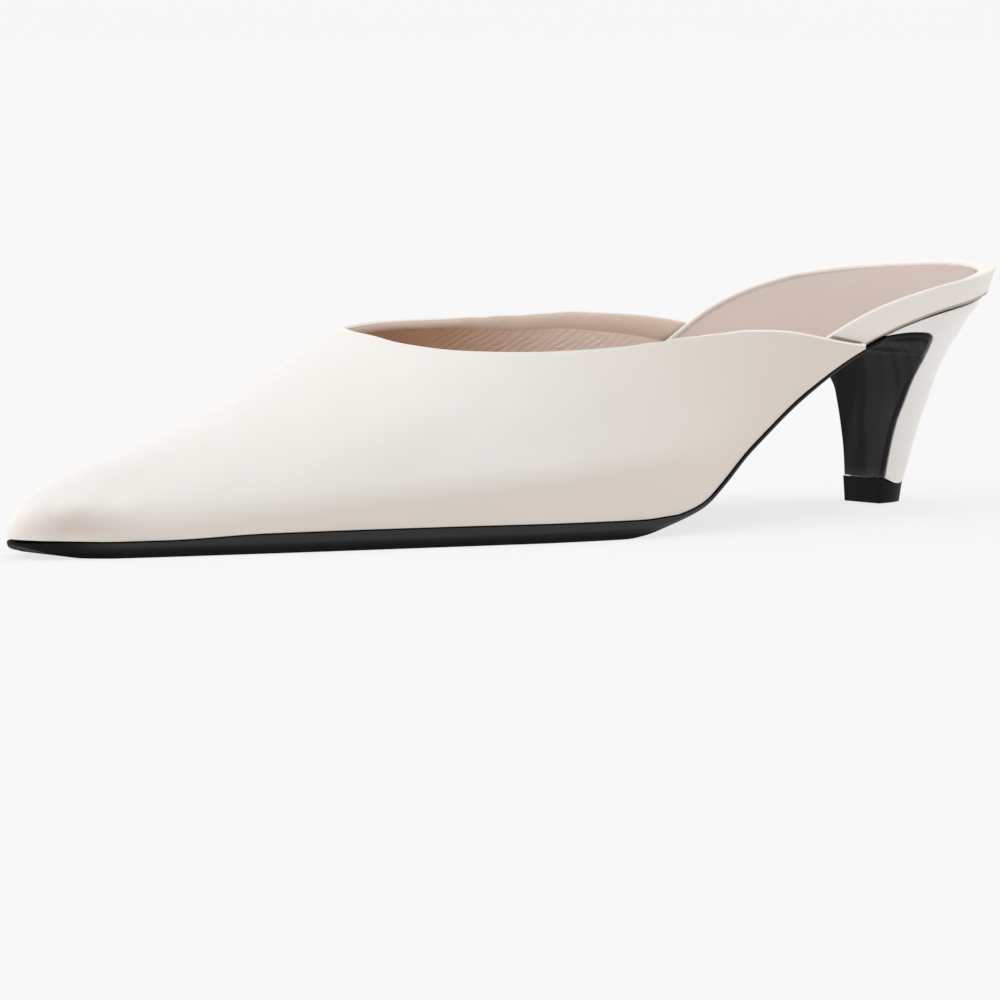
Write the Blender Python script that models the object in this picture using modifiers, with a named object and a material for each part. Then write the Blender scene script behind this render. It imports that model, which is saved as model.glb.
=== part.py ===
"""Kitten heel mule, one left shoe, built from a last worked out in sections.

The toe points along -X and the heel along +X, the outer (lateral) side faces -Y and +Z is up.
The origin lies on the floor, in the middle of the shoe's length and width.
A station is a share of the length, 0 at the toe tip and 1 at the back of the heel.
A turn is a share of the way round a section, -1 at the lateral feather line, 0 at the crown
and +1 at the medial feather line.
"""

import math
from collections import namedtuple

import bmesh
import bpy
from mathutils import Vector

# Driving sizes, in metres
LENGTH = 0.250
BALL_WIDTH = 0.0770
SEAT_WIDTH = 0.0520
HEEL_RISE = 0.0451
TOE_SPRING = 0.0028
INSTEP_HEIGHT = 0.0360
CROWN_SHIFT = 0.0030
SIDE_SWELL = 0.0010

UPPER_WALL = 0.0018
TAIL_WALL_SHARE = 0.45
TAIL_SKIVE = 0.70
TAIL_END = 0.79
TAIL_STANDS_PROUD = 0.0008
CLEARANCE = 0.0003

SOLE_THICKNESS = 0.0038
SOLE_BEVEL = 0.0012
SOLE_MARGIN = 0.0003
TOE_GAP = 0.0004
TOE_GAP_ENDS = 0.03
FLAP_THICKNESS = 0.0011
FLAP_MARGIN = 0.0002

FOOTBED_THICKNESS = 0.0066
FOOTBED_EDGE_ROUND = 0.0006
RIM_LEDGE = 0.0002
RIM_STANDS_PROUD = 0.0006
ARCH_BANK = 0.0004
FOOTBED_DISH = 0.0008
DISH_RUN = 0.2
FOOTBED_FULL = 0.85
FOOTBED_FRONT_SPACE = 0.0036
FOOTBED_UNDERCUT = 0.0024
SOCK_THICKNESS = 0.0007
SOCK_MARGIN = 0.0011
SOCK_BACK_MARGIN = 0.0054
SOCK_FRONT = 0.06
SOCK_LAST = 1.0 - SOCK_BACK_MARGIN / LENGTH

HEEL_FRONT = 0.815
HEEL_BLEND = 0.12
FLAP_BEND = 0.010
BREAST_HOLLOW = 0.0016
TOP_PIECE_THICKNESS = 0.0052
TOP_PIECE_CRADLE = 0.0014
TOP_PIECE_TAPER = 0.0005

# Where the forms change, as stations, levels or shares
SWELL_STARTS = 0.10
PATTERN_RISE = 0.7
EDGE_ROUND_LIMIT = 0.3
BEVEL_LIMIT = 0.4
SOLE_SIDE_SHARE = 0.55
SOLE_MARGIN_RUN = 0.01
FLAP_THINS = 0.2
HOLLOW_STARTS = 0.10
HOLLOW_RUN = 0.15
BANK_STARTS = 0.60
BANK_ENDS = 0.92

# How finely the forms are divided, and how strongly the divisions crowd towards an end
MERGE = 0.000002
SHARP_ANGLE = 40.0
CURVE_STEPS = 12
TOPLINE_SOFTENING = 12
FEATHER_STEPS = 160
FEATHER_CROWDING = 1.35
TOP_CROWDING = 0.8
ROW_CROWDING = 1.6
LEVEL_CROWDING = 1.3
UPPER_COLUMNS = 76
UPPER_ROWS = 12
SOLE_STATIONS = 58
SOLE_STRIPS = 8
SOCK_STATIONS = 44
TOE_STATIONS = 4
RIM_STATIONS = 5
EDGE_STEPS = 3
END_CROWDING = 1.6
HEEL_LEVELS = 20
HEEL_STRIPS = 9

# Outline of the feather line, as shares of the width at that station
PlanRow = namedtuple("PlanRow", "station lateral medial")
PLAN = [
    PlanRow(0.00, 0.000, 0.000),
    PlanRow(0.01, 0.065, 0.065),
    PlanRow(0.04, 0.128, 0.130),
    PlanRow(0.10, 0.200, 0.220),
    PlanRow(0.18, 0.286, 0.322),
    PlanRow(0.28, 0.382, 0.420),
    PlanRow(0.36, 0.456, 0.468),
    PlanRow(0.42, 0.508, 0.454),
    PlanRow(0.48, 0.532, 0.409),
    PlanRow(0.54, 0.534, 0.370),
    PlanRow(0.60, 0.518, 0.359),
    PlanRow(0.66, 0.500, 0.382),
    PlanRow(0.72, 0.486, 0.421),
    PlanRow(0.78, 0.486, 0.456),
    PlanRow(0.84, 0.492, 0.480),
    PlanRow(0.90, 0.500, 0.500),
    PlanRow(0.95, 0.414, 0.414),
    PlanRow(0.98, 0.278, 0.278),
    PlanRow(1.00, 0.000, 0.000),
]
BALL_ENDS = 0.48
SEAT_STARTS = 0.78
SEAT_WIDEST = 0.90

# Side view: the underside's height as shares of the toe spring and of the heel's rise, the sole's
# thickness as a share of the forefoot's, and the footbed's thickness as a share of the seat's
ProfileRow = namedtuple("ProfileRow", "station spring rise sole footbed")
PROFILE = [
    ProfileRow(0.00, 1.12, 0.000, 0.10, 0.25),
    ProfileRow(0.02, 0.42, 0.000, 0.57, 0.25),
    ProfileRow(0.04, 0.08, 0.000, 0.78, 0.25),
    ProfileRow(0.07, 0.00, 0.000, 0.79, 0.25),
    ProfileRow(0.10, 0.00, 0.000, 0.79, 0.28),
    ProfileRow(0.18, 0.00, 0.000, 0.98, 0.29),
    ProfileRow(0.28, 0.00, 0.000, 1.00, 0.30),
    ProfileRow(0.42, 0.00, 0.000, 0.96, 0.36),
    ProfileRow(0.48, 0.00, 0.000, 0.93, 0.46),
    ProfileRow(0.50, 0.00, 0.013, 0.77, 0.50),
    ProfileRow(0.52, 0.00, 0.041, 0.51, 0.57),
    ProfileRow(0.54, 0.00, 0.070, 0.27, 0.64),
    ProfileRow(0.57, 0.00, 0.116, 0.22, 0.75),
    ProfileRow(0.60, 0.00, 0.204, 0.20, 0.86),
    ProfileRow(0.63, 0.00, 0.308, 0.19, 0.94),
    ProfileRow(0.66, 0.00, 0.396, 0.19, 1.00),
    ProfileRow(0.72, 0.00, 0.568, 0.19, 1.10),
    ProfileRow(0.78, 0.00, 0.731, 0.19, 1.08),
    ProfileRow(0.84, 0.00, 0.857, 0.19, 0.93),
    ProfileRow(0.92, 0.00, 0.950, 0.19, 0.83),
    ProfileRow(1.00, 0.00, 1.000, 0.19, 0.82),
]

# Sections: the crown's height over the feather line as a share of the instep height, the crown's
# share of its shift towards the inner side, and how square the section is (2 is an ellipse)
SectionRow = namedtuple("SectionRow", "station crown shift squareness")
SECTIONS = [
    SectionRow(0.00, 0.00, 0.0, 2.0),
    SectionRow(0.005, 0.14, 0.0, 2.0),
    SectionRow(0.02, 0.23, 0.1, 2.0),
    SectionRow(0.05, 0.32, 0.3, 2.1),
    SectionRow(0.10, 0.42, 0.5, 2.1),
    SectionRow(0.15, 0.50, 0.8, 2.2),
    SectionRow(0.20, 0.59, 1.0, 2.3),
    SectionRow(0.25, 0.72, 1.0, 2.3),
    SectionRow(0.30, 0.86, 1.0, 2.4),
    SectionRow(0.35, 1.03, 1.0, 2.4),
    SectionRow(0.40, 1.20, 1.0, 2.4),
    SectionRow(0.46, 1.36, 1.0, 2.4),
    SectionRow(0.52, 1.50, 1.0, 2.4),
    SectionRow(0.60, 1.64, 1.0, 2.4),
    SectionRow(0.70, 1.69, 1.0, 2.4),
    SectionRow(0.80, 1.67, 1.0, 2.4),
    SectionRow(1.00, 1.60, 1.0, 2.4),
]

# The topline, from the lateral tail round the throat to the medial tail
TopRow = namedtuple("TopRow", "station turn")
TOPLINE = [
    TopRow(0.788, -0.996),
    TopRow(0.760, -0.965),
    TopRow(0.712, -0.895),
    TopRow(0.630, -0.768),
    TopRow(0.552, -0.628),
    TopRow(0.476, -0.570),
    TopRow(0.430, -0.522),
    TopRow(0.390, -0.445),
    TopRow(0.356, -0.300),
    TopRow(0.343, -0.140),
    TopRow(0.346, 0.000),
    TopRow(0.357, 0.135),
    TopRow(0.380, 0.310),
    TopRow(0.425, 0.419),
    TopRow(0.499, 0.525),
    TopRow(0.530, 0.5575),
    TopRow(0.560, 0.601),
    TopRow(0.602, 0.6865),
    TopRow(0.643, 0.768),
    TopRow(0.710, 0.875),
    TopRow(0.765, 0.955),
    TopRow(0.790, 0.988),
]

# The heel from its top (level 0) to its foot (level 1): the breast's and the back's places as shares
# of the heel's length along the seat, its width as a share of the seat's, and how square its section is
HeelRow = namedtuple("HeelRow", "level front back width squareness")
HEEL = [
    HeelRow(0.00, 0.000, 0.895, 1.00, 2.2),
    HeelRow(0.03, 0.085, 0.858, 1.00, 2.1),
    HeelRow(0.06, 0.175, 0.840, 1.00, 2.0),
    HeelRow(0.10, 0.270, 0.826, 0.99, 1.9),
    HeelRow(0.14, 0.312, 0.8165, 0.945, 1.8),
    HeelRow(0.20, 0.343, 0.803, 0.85, 1.75),
    HeelRow(0.25, 0.372, 0.790, 0.755, 1.7),
    HeelRow(0.30, 0.386, 0.776, 0.68, 1.7),
    HeelRow(0.38, 0.402, 0.750, 0.565, 1.75),
    HeelRow(0.48, 0.409, 0.719, 0.463, 1.9),
    HeelRow(0.57, 0.402, 0.690, 0.406, 2.0),
    HeelRow(0.66, 0.393, 0.664, 0.352, 2.0),
    HeelRow(0.84, 0.383, 0.620, 0.280, 2.0),
    HeelRow(1.00, 0.373, 0.573, 0.240, 2.0),
]

IVORY = (0.80, 0.74, 0.68)
BLUSH = (0.55, 0.43, 0.38)
BLACK = (0.015, 0.015, 0.015)


def clear_scene():
    for item in list(bpy.data.objects):
        bpy.data.objects.remove(item, do_unlink=True)


def smooth_step(share):
    share = min(max(share, 0.0), 1.0)
    return share * share * (3.0 - 2.0 * share)


def end_weighted(station):
    """Spread a station so that a curve over it is round at the toe and at the heel."""
    return math.acos(1.0 - 2.0 * min(max(station, 0.0), 1.0))


def curve_over(places, values):
    """Return a smooth curve through the values that never overshoots them."""
    steps = [b - a for a, b in zip(places, places[1:])]
    slopes = [(b - a) / step for a, b, step in zip(values, values[1:], steps)]
    tangents = [slopes[0]]
    for left, right, before, after in zip(slopes, slopes[1:], steps, steps[1:]):
        if left * right <= 0.0:
            tangents.append(0.0)
            continue
        near, far = 2.0 * after + before, after + 2.0 * before
        tangents.append((near + far) / (near / left + far / right))
    tangents.append(slopes[-1])

    def value_at(place):
        place = min(max(place, places[0]), places[-1])
        index = 0
        while index < len(steps) - 1 and place > places[index + 1]:
            index += 1
        step = steps[index]
        part = (place - places[index]) / step
        rest = 1.0 - part
        return (
            values[index] * rest * rest * (1.0 + 2.0 * part)
            + values[index + 1] * part * part * (3.0 - 2.0 * part)
            + step * tangents[index] * part * rest * rest
            - step * tangents[index + 1] * part * part * rest
        )

    return value_at


def table_curve(rows, column, spread=lambda place: place):
    """Return a smooth curve of one column of a table over its first column."""
    inner = curve_over([spread(row[0]) for row in rows], [getattr(row, column) for row in rows])
    return lambda place: inner(spread(place))


PLAN_SHARE = {
    -1: table_curve(PLAN, "lateral", end_weighted),
    1: table_curve(PLAN, "medial", end_weighted),
}
SPRING = table_curve(PROFILE, "spring")
RISE = table_curve(PROFILE, "rise")
SOLE_SHARE = table_curve(PROFILE, "sole")
FOOTBED_SHARE = table_curve(PROFILE, "footbed")
CROWN = table_curve(SECTIONS, "crown", end_weighted)
SHIFT = table_curve(SECTIONS, "shift")
SQUARENESS = table_curve(SECTIONS, "squareness")
HEEL_CURVES = {name: table_curve(HEEL, name) for name in ("front", "back", "width", "squareness")}

LATERAL_REACH = max(row.lateral for row in PLAN) * BALL_WIDTH
MEDIAL_REACH = max(row.medial for row in PLAN if row.station < BALL_ENDS) * BALL_WIDTH
AXIS_SHIFT = (LATERAL_REACH - MEDIAL_REACH) / 2.0


def place(x, y, z):
    """Turn a point measured from the toe tip and the heel's axis into the shoe's own frame."""
    return Vector((x - LENGTH / 2.0, y + AXIS_SHIFT, z))


def half_width(station, side):
    """Distance of the feather line from the heel's axis, on the lateral (-1) or medial (1) side."""
    to_seat = smooth_step((station - BALL_ENDS) / (SEAT_STARTS - BALL_ENDS))
    width = BALL_WIDTH + (SEAT_WIDTH - BALL_WIDTH) * to_seat
    return PLAN_SHARE[side](station) * width


def feather_height(station):
    """Height of the line where the upper meets the sole."""
    return TOE_SPRING * SPRING(station) + HEEL_RISE * RISE(station) + sole_thickness(station) + CLEARANCE


def sole_thickness(station):
    return SOLE_THICKNESS * SOLE_SHARE(station)


def crown_height(station):
    return INSTEP_HEIGHT * CROWN(station)


def tail_share(station):
    """How far a place has come from the quarters' full wall (0) to the tails' thin ends (1)."""
    return smooth_step((station - TAIL_SKIVE) / (TAIL_END - TAIL_SKIVE))


def last_point(station, turn):
    """A point on the outside of the upper."""
    side = -1 if turn < 0.0 else 1
    angle = (1.0 - min(abs(turn), 1.0)) * math.pi / 2.0
    power = 2.0 / SQUARENESS(station)
    out = max(math.cos(angle), 0.0) ** power
    up = max(math.sin(angle), 0.0) ** power
    crown_y = CROWN_SHIFT * SHIFT(station)
    edge_y = side * (half_width(station, side) + TAIL_STANDS_PROUD * tail_share(station))
    swell = SIDE_SWELL * math.sin(math.pi * up) ** 2 * min(1.0, station / SWELL_STARTS)
    y = crown_y + (edge_y - crown_y) * out + side * swell
    return place(station * LENGTH, y, feather_height(station) + crown_height(station) * up)


def pattern_width(station, side):
    """Width of the upper's flat pattern from its centre line to the feather line."""
    return half_width(station, side) + PATTERN_RISE * crown_height(station)


def flat_point(station, turn):
    side = -1 if turn < 0.0 else 1
    return station * LENGTH, turn * pattern_width(station, side)


def from_flat(x, y):
    station = x / LENGTH
    side = -1 if y < 0.0 else 1
    width = pattern_width(station, side)
    return last_point(station, max(-1.0, min(1.0, y / width)) if width > 0.0 else 0.0)


def even_samples(points, count, crowd=lambda share: share):
    """Pick points along a polyline at shares of its length."""
    lengths = [0.0]
    for (ax, ay), (bx, by) in zip(points, points[1:]):
        lengths.append(lengths[-1] + math.hypot(bx - ax, by - ay))
    picked = []
    index = 0
    for number in range(count + 1):
        want = crowd(number / count) * lengths[-1]
        while index < len(points) - 2 and lengths[index + 1] < want:
            index += 1
        part = (want - lengths[index]) / (lengths[index + 1] - lengths[index])
        (ax, ay), (bx, by) = points[index], points[index + 1]
        picked.append((ax + (bx - ax) * part, ay + (by - ay) * part))
    return picked


def softened(values):
    """Take small corners out of a row of values, keeping its two ends."""
    for _ in range(TOPLINE_SOFTENING):
        inner = [(a + 2.0 * b + c) / 4.0 for a, b, c in zip(values, values[1:], values[2:])]
        values = [values[0], *inner, values[-1]]
    return values


def fine_curve(rows):
    """Smooth curve through the topline's rows, as many short chords."""
    flat = [flat_point(row.station, row.turn) for row in rows]
    along = [0.0]
    for (ax, ay), (bx, by) in zip(flat, flat[1:]):
        along.append(along[-1] + math.hypot(bx - ax, by - ay))
    station = curve_over(along, [row.station for row in rows])
    turn = curve_over(along, [row.turn for row in rows])
    count = (len(rows) - 1) * CURVE_STEPS
    places = [along[-1] * number / count for number in range(count + 1)]
    stations = softened([station(place_along) for place_along in places])
    turns = softened([turn(place_along) for place_along in places])
    return list(zip(stations, turns))


def upper_grid():
    """Rows of points from the feather line up to the topline, tail to toe to tail."""
    top = fine_curve(TOPLINE)
    throat = min(range(len(top)), key=lambda index: abs(top[index][1]))
    half = UPPER_COLUMNS // 2
    columns = []
    for side, edge in ((-1, top[: throat + 1]), (1, top[: throat - 1 : -1])):
        edge[-1] = (edge[-1][0], 0.0)
        tail = edge[0][0]
        turns = [math.pi / 2.0 * step / FEATHER_STEPS for step in range(FEATHER_STEPS + 1)]
        stations = [tail * (1.0 - math.sin(angle)) for angle in turns]
        feather = [flat_point(station, side) for station in stations]
        feather[-1] = (0.0, 0.0)
        low = even_samples(feather, half, lambda share: 1.0 - (1.0 - share) ** FEATHER_CROWDING)
        flat_edge = [flat_point(station, turn) for station, turn in edge]
        high = even_samples(flat_edge, half, lambda share: share**TOP_CROWDING)
        columns.append(list(zip(low, high)))
    columns = columns[0] + columns[1][-2::-1]
    grid = []
    for row in range(UPPER_ROWS + 1):
        share = (row / UPPER_ROWS) ** ROW_CROWDING
        line = []
        for (ax, ay), (bx, by) in columns:
            line.append(from_flat(ax + (bx - ax) * share, ay + (by - ay) * share))
        grid.append(line)
    return grid


def new_object(name, bm, collection, colour, roughness, coat=0.0):
    mesh = bpy.data.meshes.new(name)
    bm.to_mesh(mesh)
    bm.free()
    mesh.shade_smooth()
    mesh.set_sharp_from_angle(angle=math.radians(SHARP_ANGLE))
    item = bpy.data.objects.new(name, mesh)
    collection.objects.link(item)
    material = bpy.data.materials.new(name + "_finish")
    material.use_nodes = True
    shader = material.node_tree.nodes["Principled BSDF"]
    shader.inputs["Base Color"].default_value = (*colour, 1.0)
    shader.inputs["Roughness"].default_value = roughness
    shader.inputs["Coat Weight"].default_value = coat
    shader.inputs["Metallic"].default_value = 0.0
    mesh.materials.append(material)
    return item


def sheet(grid):
    """Quads over a grid of points."""
    bm = bmesh.new()
    rows = [[bm.verts.new(point) for point in line] for line in grid]
    for low, high in zip(rows, rows[1:]):
        for index in range(len(low) - 1):
            bm.faces.new((low[index], low[index + 1], high[index + 1], high[index]))
    return bm


def loft(rings):
    """Skin between closed rings of equal count, with flat or fanned ends."""
    bm = bmesh.new()
    loops = [[bm.verts.new(point) for point in ring] for ring in rings]
    for first, second in zip(loops, loops[1:]):
        for index in range(len(first)):
            after = (index + 1) % len(first)
            bm.faces.new((first[index], first[after], second[after], second[index]))
    bm.faces.new(list(reversed(loops[0])))
    bm.faces.new(loops[-1])
    bmesh.ops.remove_doubles(bm, verts=bm.verts, dist=MERGE)
    bmesh.ops.dissolve_degenerate(bm, edges=bm.edges, dist=MERGE)
    bmesh.ops.recalc_face_normals(bm, faces=bm.faces)
    if bm.calc_volume(signed=True) < 0.0:
        bmesh.ops.reverse_faces(bm, faces=bm.faces)
    return bm


def build_upper(collection):
    grid = upper_grid()
    bm = sheet(grid)
    bmesh.ops.recalc_face_normals(bm, faces=bm.faces)
    item = new_object("upper", bm, collection, IVORY, 0.42)
    fullness = item.vertex_groups.new(name="wall")
    for vertex in item.data.vertices:
        station = (vertex.co.x + LENGTH / 2.0) / LENGTH
        fullness.add([vertex.index], 1.0 - tail_share(station), "REPLACE")
    wall = item.modifiers.new("wall", "SOLIDIFY")
    wall.thickness = UPPER_WALL
    wall.offset = -1.0
    wall.use_even_offset = True
    wall.vertex_group = fullness.name
    wall.thickness_vertex_group = TAIL_WALL_SHARE
    return item


def inner_half_width(station, side, inset):
    """Half width of an outline set in from the feather line by the same amount all round."""
    along = inset / LENGTH * math.cos(math.pi * station)
    return max(half_width(station - along, side) - inset, 0.0)


def footbed_inset(station):
    """The footbed lies inside the upper, and comes out to the full outline behind the tails."""
    covered = UPPER_WALL + 2.0 * CLEARANCE
    at_tail = UPPER_WALL * TAIL_WALL_SHARE + 2.0 * CLEARANCE - TAIL_STANDS_PROUD
    bare = smooth_step((station - TAIL_END) / (FOOTBED_FULL - TAIL_END))
    return (covered + (at_tail - covered) * tail_share(station)) * (1.0 - bare)


def rim_share(station):
    """How far the rim stands up beside the sock: hardly under the toes, fully in the open part."""
    return smooth_step((station - BALL_ENDS) / DISH_RUN)


def footbed_top(station, y):
    """Height of the footbed under the sock, slightly dished across and banked like the rim."""
    side = -1 if y < 0.0 else 1
    across = y / half_width(min(station, SEAT_WIDEST), side)
    fullness = rim_share(station)
    fullness *= 1.0 - smooth_step((station - SEAT_WIDEST) / (SOCK_LAST - SEAT_WIDEST))
    dish = FOOTBED_DISH * (1.0 - across * across) * fullness + RIM_STANDS_PROUD * rim_share(station)
    return footbed_rim(station, across) - SOCK_THICKNESS - CLEARANCE - dish


def footbed_rim(station, across):
    """Height of the rim, banked up towards the arch: across is -1 at the lateral edge, 1 at the medial."""
    bank = math.sin(math.pi * smooth_step((station - BANK_STARTS) / (BANK_ENDS - BANK_STARTS)))
    level = feather_height(station) + FOOTBED_THICKNESS * FOOTBED_SHARE(station)
    return level + ARCH_BANK * bank * across


def spaced_stations(first, last, count):
    """Stations that lie closer together towards both ends of the shoe."""
    low, high = end_weighted(first), end_weighted(last)
    return [(1.0 - math.cos(low + (high - low) * step / count)) / 2.0 for step in range(count + 1)]


def sock_stations():
    """Stations along the sock, closer together towards its round back end."""
    shares = [1.0 - (1.0 - step / SOCK_STATIONS) ** END_CROWDING for step in range(SOCK_STATIONS + 1)]
    return [SOCK_FRONT + (SOCK_LAST - SOCK_FRONT) * share for share in shares]


def recess_limit(station, side):
    """The recess stops short of the footbed's rounded rim."""
    return inner_half_width(station, side, footbed_inset(station)) - FOOTBED_EDGE_ROUND - RIM_LEDGE


def sock_half_width(station, side):
    """The sock leaves a narrow rim at the sides and a wider one round the back."""
    if station > SOCK_LAST:
        return 0.0
    backward = smooth_step((station - SEAT_STARTS) / (SOCK_LAST - SEAT_STARTS))
    matched = station + SOCK_BACK_MARGIN / LENGTH * backward
    margin = footbed_inset(station) + SOCK_MARGIN
    edge = half_width(matched, side) * (1.0 - margin / half_width(min(matched, SEAT_WIDEST), side))
    return max(min(edge, recess_limit(station, side) - CLEARANCE), 0.0)


def recess_half_width(station, side):
    """The footbed's recess keeps clear of the sock all round."""
    if station > SOCK_LAST + CLEARANCE / LENGTH:
        return 0.0
    edge = sock_half_width(station - CLEARANCE / LENGTH, side) + CLEARANCE
    return min(edge, max(recess_limit(station, side), CLEARANCE))


def footbed_ring(station):
    """One cross section: flat underneath, rounded rim, and a shallow recess that takes the sock."""
    inset = footbed_inset(station)
    x = station * LENGTH
    low = feather_height(station)
    rims = {side: footbed_rim(station, side) for side in (-1, 1)}
    ends = {side: inner_half_width(station, side, inset) for side in (-1, 1)}
    turn = min(FOOTBED_EDGE_ROUND, EDGE_ROUND_LIMIT * min(rims[-1] - low, *ends.values()))
    tuck = FOOTBED_UNDERCUT * smooth_step((station - HEEL_FRONT) / (1.0 - HEEL_FRONT))
    recessed = station <= SOCK_LAST + CLEARANCE / LENGTH
    halves = []
    shores = []
    for side in (-1, 1):
        edge = side * ends[side]
        half = [place(x - tuck, edge - side * turn, low), place(x - tuck, edge, low + turn)]
        for step in range(EDGE_STEPS + 1):
            angle = math.pi / 2.0 * step / EDGE_STEPS
            y = edge - side * turn * (1.0 - math.cos(angle))
            half.append(place(x, y, rims[side] - turn * (1.0 - math.sin(angle))))
        shores.append(side * min(recess_half_width(station, side), ends[side] - turn))
        half.append(place(x, shores[-1], rims[side]))
        halves.append(half)
    lateral, medial = halves
    floor = []
    for step in range(SOLE_STRIPS + 1):
        share = 1.0 - step / SOLE_STRIPS
        y = shores[0] + (shores[1] - shores[0]) * share
        floor.append(place(x, y, footbed_top(station, y) if recessed else footbed_rim(station, 0.0)))
    return medial + floor + lateral[::-1]


def build_footbed(collection):
    front = FOOTBED_FRONT_SPACE / LENGTH
    stations = [front + (SOCK_FRONT - front) * (step / TOE_STATIONS) ** 2 for step in range(TOE_STATIONS)]
    stations += sock_stations()
    stations += [SOCK_LAST + CLEARANCE / LENGTH * times for times in (1.0, 2.0)]
    bare = 1.0 - stations[-1]
    stations += [1.0 - bare * (1.0 - step / RIM_STATIONS) ** 2 for step in range(1, RIM_STATIONS + 1)]
    rings = [footbed_ring(station) for station in stations]
    return new_object("footbed", loft(rings), collection, IVORY, 0.4)


def build_sock(collection):
    rings = []
    for station in sock_stations():
        lateral, medial = -sock_half_width(station, -1), sock_half_width(station, 1)
        ring = []
        for lift, strips in ((SOCK_THICKNESS, range(SOLE_STRIPS + 1)), (0.0, range(SOLE_STRIPS, -1, -1))):
            for strip in strips:
                y = lateral + (medial - lateral) * strip / SOLE_STRIPS
                ring.append(place(station * LENGTH, y, footbed_top(station, y) + CLEARANCE + lift))
        rings.append(ring)
    return new_object("sock", loft(rings), collection, BLUSH, 0.6)


def heel_top(x):
    return feather_height(x / LENGTH)


def heel_place(level, name):
    """X of the breast (front) or the back of the heel at a level."""
    start = HEEL_FRONT * LENGTH
    return start + HEEL_CURVES[name](level) * (LENGTH - start)


def heel_foot(part):
    """Height of the heel's foot, which dips into the top piece's cradle."""
    return TOP_PIECE_THICKNESS + CLEARANCE - TOP_PIECE_CRADLE * math.sin(math.pi * part)


def heel_outline(level, part, side):
    """Half breadth of the heel at a level, at a share of its depth behind the breast."""
    power = HEEL_CURVES["squareness"](level)
    breast = half_width(HEEL_FRONT, side)
    plain = breast * max(0.0, 1.0 - part**power) ** (1.0 / power)
    seat = half_width(HEEL_FRONT + part * (1.0 - HEEL_FRONT), side)
    mix = smooth_step(level / HEEL_BLEND)
    return side * HEEL_CURVES["width"](level) * (seat + (plain - seat) * mix)


def heel_point(level, part, side):
    x = heel_place(level, "front")
    x += part * (heel_place(level, "back") - x)
    z = (heel_top(x) - CLEARANCE) * (1.0 - level) + heel_foot(part) * level
    return x, heel_outline(level, part, side), z


def heel_levels():
    """Levels down the heel, closer together towards its top."""
    return [(number / HEEL_LEVELS) ** LEVEL_CROWDING for number in range(HEEL_LEVELS + 1)]


def breast_hollow(level):
    return BREAST_HOLLOW * smooth_step((level - HOLLOW_STARTS) / HOLLOW_RUN) * HEEL_CURVES["width"](level)


def build_heel(collection):
    rings = []
    for level in heel_levels():
        ring = []
        for side, count in ((-1, range(HEEL_STRIPS + 1)), (1, range(HEEL_STRIPS - 1, -1, -1))):
            for strip in count:
                part = math.sin(math.pi / 2.0 * strip / HEEL_STRIPS)
                ring.append(place(*heel_point(level, part, side)))
        lateral = heel_point(level, 0.0, -1)
        medial = heel_point(level, 0.0, 1)
        for strip in range(SOLE_STRIPS - 1, 0, -1):
            share = strip / SOLE_STRIPS
            y = lateral[1] + (medial[1] - lateral[1]) * share
            hollow = breast_hollow(level) * 4.0 * share * (1.0 - share)
            ring.append(place(lateral[0] + hollow, y, lateral[2]))
        rings.append(ring)
    return new_object("heel", loft(rings), collection, IVORY, 0.38)


def sole_path():
    """The hidden face of the sole and its flap: place, thickness, half widths and hollow at each step."""
    steps = []
    for station in spaced_stations(0.0, HEEL_FRONT - FLAP_BEND, SOLE_STATIONS):
        sink = CLEARANCE + CLEARANCE * smooth_step((station - SEAT_STARTS) / (HEEL_FRONT - SEAT_STARTS))
        sink += TOE_GAP * (1.0 - smooth_step(station / TOE_GAP_ENDS))
        margin = SOLE_MARGIN * smooth_step(station / SOLE_MARGIN_RUN)
        widths = [half_width(station, side) + margin for side in (-1, 1)]
        steps.append((station * LENGTH, feather_height(station) - sink, sole_thickness(station), widths, 0.0))
    for level in heel_levels():
        x, lateral, z = heel_point(level, 0.0, -1)
        medial = heel_point(level, 0.0, 1)[1]
        seat = sole_thickness(HEEL_FRONT)
        thick = seat + (FLAP_THICKNESS - seat) * smooth_step(level / FLAP_THINS)
        steps.append((x, z, thick, [-lateral - FLAP_MARGIN, medial - FLAP_MARGIN], breast_hollow(level)))
    return steps


def build_outsole(collection):
    steps = sole_path()
    rings = []
    for index, (x, z, thick, widths, hollow) in enumerate(steps):
        before = steps[max(index - 1, 0)]
        after = steps[min(index + 1, len(steps) - 1)]
        run = Vector((after[0] - before[0], after[1] - before[1])).normalized()
        face = Vector((run.y, -run.x))
        on_breast = index > SOLE_STATIONS
        if on_breast:
            x += face.x * CLEARANCE
            z += face.y * CLEARANCE
        bevel = min(SOLE_BEVEL * thick / SOLE_THICKNESS, BEVEL_LIMIT * sum(widths))
        ring = []
        for depth, inset, strips in (
            (0.0, 0.0, range(SOLE_STRIPS + 1)),
            (SOLE_SIDE_SHARE * thick, 0.0, (SOLE_STRIPS,)),
            (thick, bevel, range(SOLE_STRIPS, -1, -1)),
            (SOLE_SIDE_SHARE * thick, 0.0, (0,)),
        ):
            for strip in strips:
                share = strip / SOLE_STRIPS
                y = (inset - widths[0]) * (1.0 - share) + (widths[1] - inset) * share
                behind = hollow * 4.0 * share * (1.0 - share)
                ring.append(place(x + face.x * depth + behind, y, z + face.y * depth))
        rings.append(ring)
    return new_object("outsole", loft(rings), collection, BLACK, 0.3, 0.5)


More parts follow.
